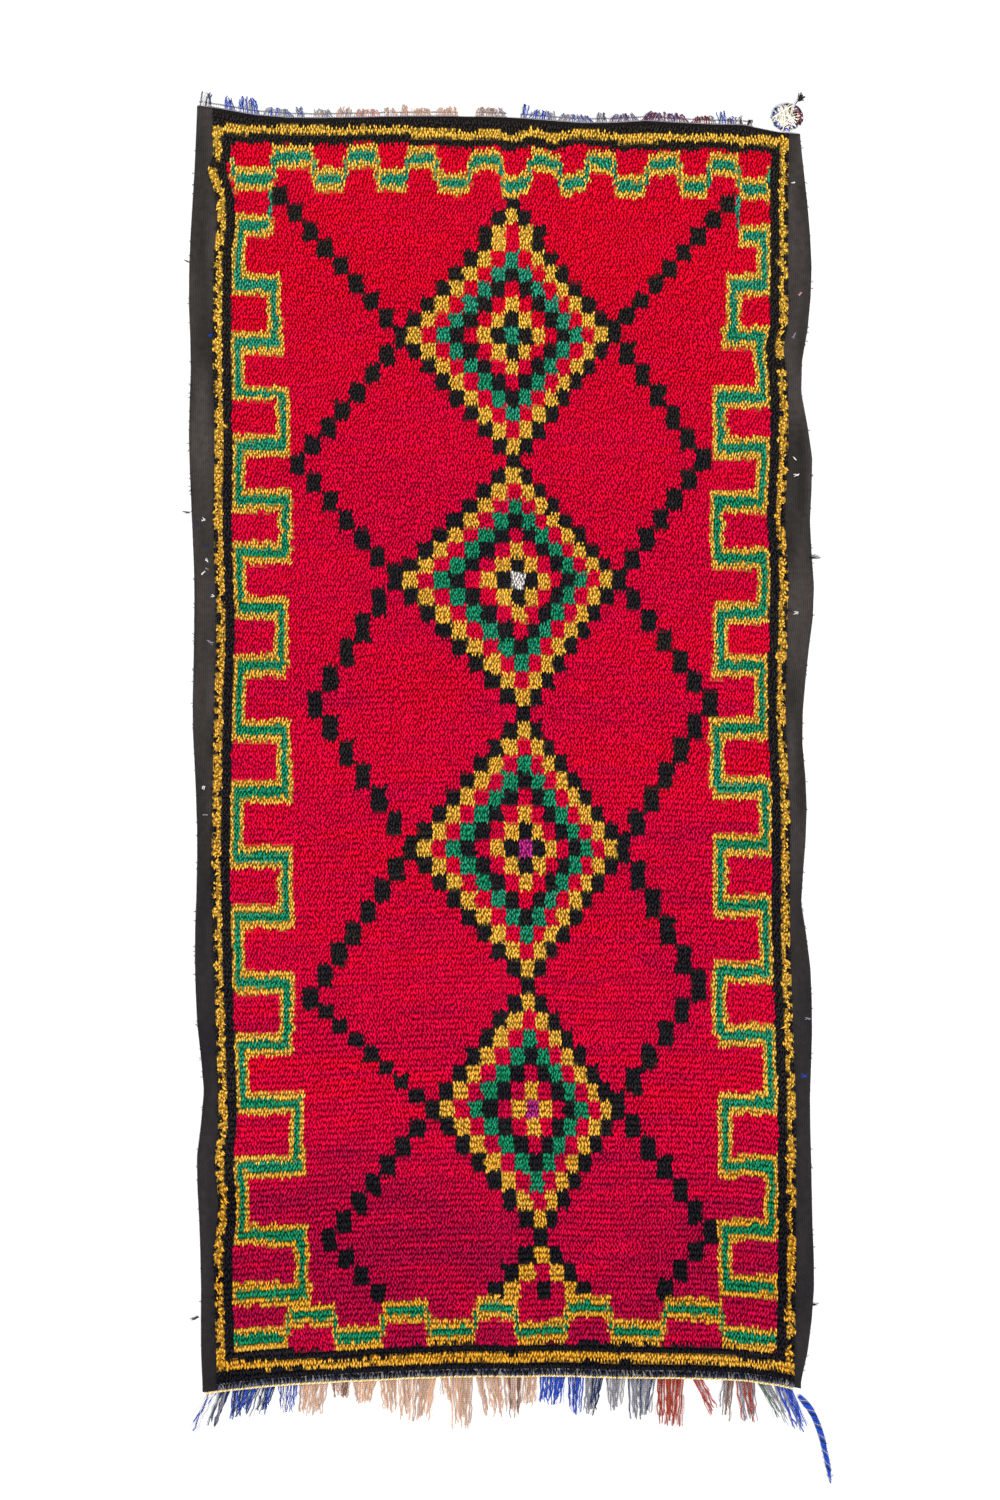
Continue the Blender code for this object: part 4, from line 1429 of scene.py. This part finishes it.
# %% [markdown]
# ## The knotted corner and the long tassel
#
# At the far right corner the last warp ends are tied in a lump, white and grey over navy, with a stem
# that ends in a leaf of black pile. At the near right corner a long tassel of blue yarns wanders out.
# The lump is a low dome with yarns laid over it in arcs, each from rim to rim. The tassel is six yarns
# twined round a path, at a half width that narrows towards the tip.

# %% Tie the corner lump
KNOT_CENTRE = np.array((0.684, 1.5085))
KNOT_RADII = np.array((0.0385, 0.0335))
KNOT_TOP = 0.0200
LEAF_PATH = (
    (0.7035, 1.5400, 0.0040),
    (0.7100, 1.5480, 0.0038),
    (0.7165, 1.5560, 0.0042),
    (0.7215, 1.5620, 0.0040),
)


def knot_shape():
    draw = np.random.default_rng(91)
    count, rings = 120, 14
    t = np.linspace(-1, 1, rings)[None]
    turn = draw.uniform(0, np.pi, (count, 1)) * 0.6 + draw.choice([0.1, 1.3], (count, 1))
    aside = draw.uniform(-0.85, 0.85, (count, 1))
    bow = draw.normal(0, 0.22, (count, 1))
    half = np.sqrt(1 - aside**2) * draw.uniform(0.65, 1.0, (count, 1))
    u, v = t * half, aside + bow * (1 - t**2) * 0.5
    x = u * np.cos(turn) - v * np.sin(turn)
    y = u * np.sin(turn) + v * np.cos(turn)
    far_out = np.clip(x**2 + y**2, 0, 1)
    lift = draw.uniform(0.35, 1.0, (count, 1))
    z = 0.0018 + (KNOT_TOP - 0.004) * lift * (1 - far_out) ** 0.6
    paths = np.stack([KNOT_CENTRE[0] + x * KNOT_RADII[0], KNOT_CENTRE[1] + y * KNOT_RADII[1], z], 2)
    height_share = z.max(1) / KNOT_TOP
    side = paths[:, :, 0].mean(1) > KNOT_CENTRE[0] + 0.010
    pale = draw.choice(["white", "cream", "grey", "white"], count)
    deep = draw.choice(["navy", "royal", "navy", "black"], count)
    right = draw.choice(["wine", "navy", "rust", "black"], count)
    names = np.where(side, right, np.where(height_share > 0.55, pale, deep))
    lump = tubes(paths, np.full((count, rings), 0.0017), 5, hues(names), draw.uniform(0.8, 1.1, count))
    stem_points = np.array(LEAF_PATH)
    steps = np.linspace(0, len(stem_points) - 1, 12)
    stem = np.stack([np.interp(steps, np.arange(len(stem_points)), stem_points[:, i]) for i in range(3)], 1)
    stem = tubes(stem[None], np.full((1, 12), 0.0012), 5, hues(["black"]), np.ones(1))
    fan = 26
    base = np.tile(np.array([0.7120, 1.5500]), (fan, 1)) + draw.normal(0, 0.0012, (fan, 2))
    heading = draw.normal(0.86, 0.42, fan)
    tips = base + np.stack([np.cos(heading), np.sin(heading)], 1) * draw.uniform(0.008, 0.019, (fan, 1))
    leaf = crinkled(base, tips, draw.uniform(0.003, 0.006, fan), np.full(fan, 0.0003), draw, 5)
    leaf_radii = np.full((fan, 5), 0.0012) * np.linspace(1.1, 0.6, 5)
    leaf = tubes(leaf, leaf_radii, 4, hues(["black"] * fan), np.ones(fan))
    return joined([lump, stem, leaf])


knot_yarn = yarn_material("knot_yarn", 0.0050, 0.40)
corner_knot = make_piece("corner_knot_yarns", knot_shape(), knot_yarn, "corner_knot")

# %% Twist the long tassel
# Columns: x, y, half width of the tassel.
TASSEL = np.array((
    (0.7130, -1.5600, 0.0056),
    (0.7260, -1.5740, 0.0082),
    (0.7380, -1.5890, 0.0086),
    (0.7500, -1.6100, 0.0078),
    (0.7600, -1.6340, 0.0084),
    (0.7700, -1.6680, 0.0082),
    (0.7770, -1.7000, 0.0066),
    (0.7825, -1.7280, 0.0070),
    (0.7860, -1.7500, 0.0040),
    (0.7885, -1.7680, 0.0024),
))
TASSEL_YARNS = ("royal", "royal", "navy", "royal", "grey", "royal")
TASSEL_POINTS = 70


def tassel_shape():
    """Yarns round the tassel's path at its half width, flattened on the floor, with a fuzz of blue hairs."""
    draw = np.random.default_rng(95)
    place = np.linspace(0, len(TASSEL) - 1, TASSEL_POINTS)
    x, y, half = (np.interp(place, np.arange(len(TASSEL)), TASSEL[:, i]) for i in range(3))
    run = np.concatenate([[0.0], np.cumsum(np.hypot(np.diff(x), np.diff(y)))])
    heading = np.stack([np.gradient(x), np.gradient(y)], 1)
    heading /= np.linalg.norm(heading, axis=1, keepdims=True)
    paths = []
    for k in range(len(TASSEL_YARNS)):
        angle = 2 * np.pi * (run / 0.034 + k / len(TASSEL_YARNS)) + 0.4 * np.sin(run * 90 + k)
        out = np.maximum(half - 0.0022, 0.0006) * np.sin(angle)
        up = 0.0036 + 0.0018 * np.cos(angle)
        paths.append(np.stack([x - heading[:, 1] * out, y + heading[:, 0] * out, up], 1))
    paths = np.array(paths)
    radii = np.full(paths.shape[:2], 0.0019) * np.linspace(1.0, 0.7, TASSEL_POINTS)
    yarns = tubes(paths, radii, 6, hues(TASSEL_YARNS), draw.uniform(0.85, 1.15, len(paths)))
    hairs = 110
    at = draw.integers(2, TASSEL_POINTS - 2, hairs)
    base = np.stack([x[at], y[at]], 1)
    angle = draw.uniform(0, 2 * np.pi, hairs)
    tips = base + np.stack([np.cos(angle), np.sin(angle)], 1) * draw.uniform(0.004, 0.011, (hairs, 1))
    fuzz = crinkled(base, tips, draw.uniform(0.002, 0.006, hairs), np.full(hairs, 0.0006), draw, 5)
    names = draw.choice(["royal", "navy", "royal", "grey"], hairs)
    fuzz = tubes(fuzz, np.full((hairs, 5), 0.0005), 3, hues(names), np.ones(hairs))
    return joined([yarns, fuzz])


tassel_yarn = yarn_material("tassel_yarn", 0.0060, 0.45)
corner_tassel = make_piece("corner_tassel_yarns", tassel_shape(), tassel_yarn, "corner_tassel")

# %% [markdown]
# ## Loose threads
#
# Old selvages shed: dark whiskers stand out along both edges and pale knots of mending thread sit on the
# weave. They are few, but they are what makes an edge look worn and not cut.

# %% Scatter the loose threads
# Mends on the selvages. Columns: x, y, length, turn, yarn.
MENDS = (
    (-0.715, 0.542, 0.012, 0.4, "white"),
    (-0.708, 0.446, 0.010, 1.9, "white"),
    (-0.707, 0.425, 0.008, 2.4, "grey"),
    (-0.717, 0.415, 0.012, 0.9, "white"),
    (-0.694, 0.360, 0.010, 2.8, "white"),
    (-0.732, 0.535, 0.016, 1.2, "navy"),
    (-0.708, 0.480, 0.014, 0.3, "navy"),
    (-0.700, 0.985, 0.012, 0.1, "royal"),
    (0.698, 1.351, 0.008, 0.7, "white"),
    (0.701, 0.985, 0.016, 1.1, "grey"),
    (0.716, 1.084, 0.014, 0.5, "pink"),
    (0.702, 0.690, 0.010, 2.0, "white"),
    (0.706, 0.650, 0.014, 0.2, "white"),
    (0.706, 0.320, 0.012, 0.1, "white"),
    (0.734, -0.653, 0.014, 0.1, "grey"),
    (0.724, -0.790, 0.018, 0.0, "royal"),
    (-0.716, -0.100, 0.010, 0.9, "white"),
    (-0.712, -0.165, 0.012, 0.2, "grey"),
    (-0.700, 0.250, 0.020, 2.6, "grey"),
)
# Whiskers longer than the rest. Columns: x, y, length, heading.
LONG_WHISKERS = (
    (-0.750, 1.160, 0.016, 2.7),
    (-0.750, 0.560, 0.018, 3.1),
    (0.738, 0.452, 0.028, 0.1),
    (0.742, -1.342, 0.020, 0.2),
    (-0.728, -1.370, 0.022, 3.3),
)
WHISKERS = 170


def threads_shape():
    draw = np.random.default_rng(99)
    side = draw.choice([-1.0, 1.0], WHISKERS)
    y = draw.uniform(-1.50, 1.45, WHISKERS)
    x = np.where(side < 0, left_edge(y) + 0.003, right_edge(y) - 0.003)
    base = np.stack([x, y], 1)
    heading = np.where(side < 0, np.pi, 0) + draw.normal(0, 0.6, WHISKERS)
    tips = base + np.stack([np.cos(heading), np.sin(heading)], 1) * draw.uniform(0.004, 0.010, (WHISKERS, 1))
    paths = crinkled(base, tips, np.full(WHISKERS, 0.0030), np.full(WHISKERS, 0.0005), draw, 5)
    whiskers = tubes(paths, np.full((WHISKERS, 5), 0.0007), 3, hues(["black"] * WHISKERS), np.ones(WHISKERS))
    long = np.array(LONG_WHISKERS)
    base = np.repeat(long[:, :2], 5, axis=0) + draw.normal(0, 0.0012, (5 * len(long), 2))
    heading = np.repeat(long[:, 3], 5) + draw.normal(0, 0.25, 5 * len(long))
    reach_out = np.repeat(long[:, 2], 5) * draw.uniform(0.5, 1.0, 5 * len(long))
    tips = base + np.stack([np.cos(heading), np.sin(heading)], 1) * reach_out[:, None]
    paths = crinkled(base, tips, np.full(len(base), 0.0036), np.full(len(base), 0.0006), draw, 6)
    tufts = tubes(paths, np.full((len(base), 6), 0.0009), 3, hues(["black"] * len(base)), np.ones(len(base)))
    repeats = 3
    mends = [row for row in MENDS for _ in range(repeats)]
    base = np.array([row[:2] for row in mends]) + draw.normal(0, 0.0010, (len(mends), 2))
    turn = np.array([row[3] for row in mends]) + draw.normal(0, 0.35, len(mends))
    half = np.array([row[2] for row in mends])[:, None] / 2 * draw.uniform(0.6, 1.0, (len(mends), 1))
    step = np.stack([np.cos(turn), np.sin(turn)], 1) * half
    paths = crinkled(
        base - step, base + step, np.full(len(mends), 0.0052), np.full(len(mends), 0.0008), draw, 6
    )
    paths[:, :, 2] = 0.0052
    pale = tubes(
        paths, np.full((len(mends), 6), 0.0008), 4, hues([row[4] for row in mends]), np.ones(len(mends))
    )
    return joined([whiskers, tufts, pale])


loose_yarn = yarn_material("loose_thread", 0.0030, 0.25)
loose_threads = make_piece("loose_threads", threads_shape(), loose_yarn, "rug_body")

total = sum(sum(len(face.vertices) - 2 for face in piece.data.polygons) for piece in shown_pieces())
print("triangles in all:", total)
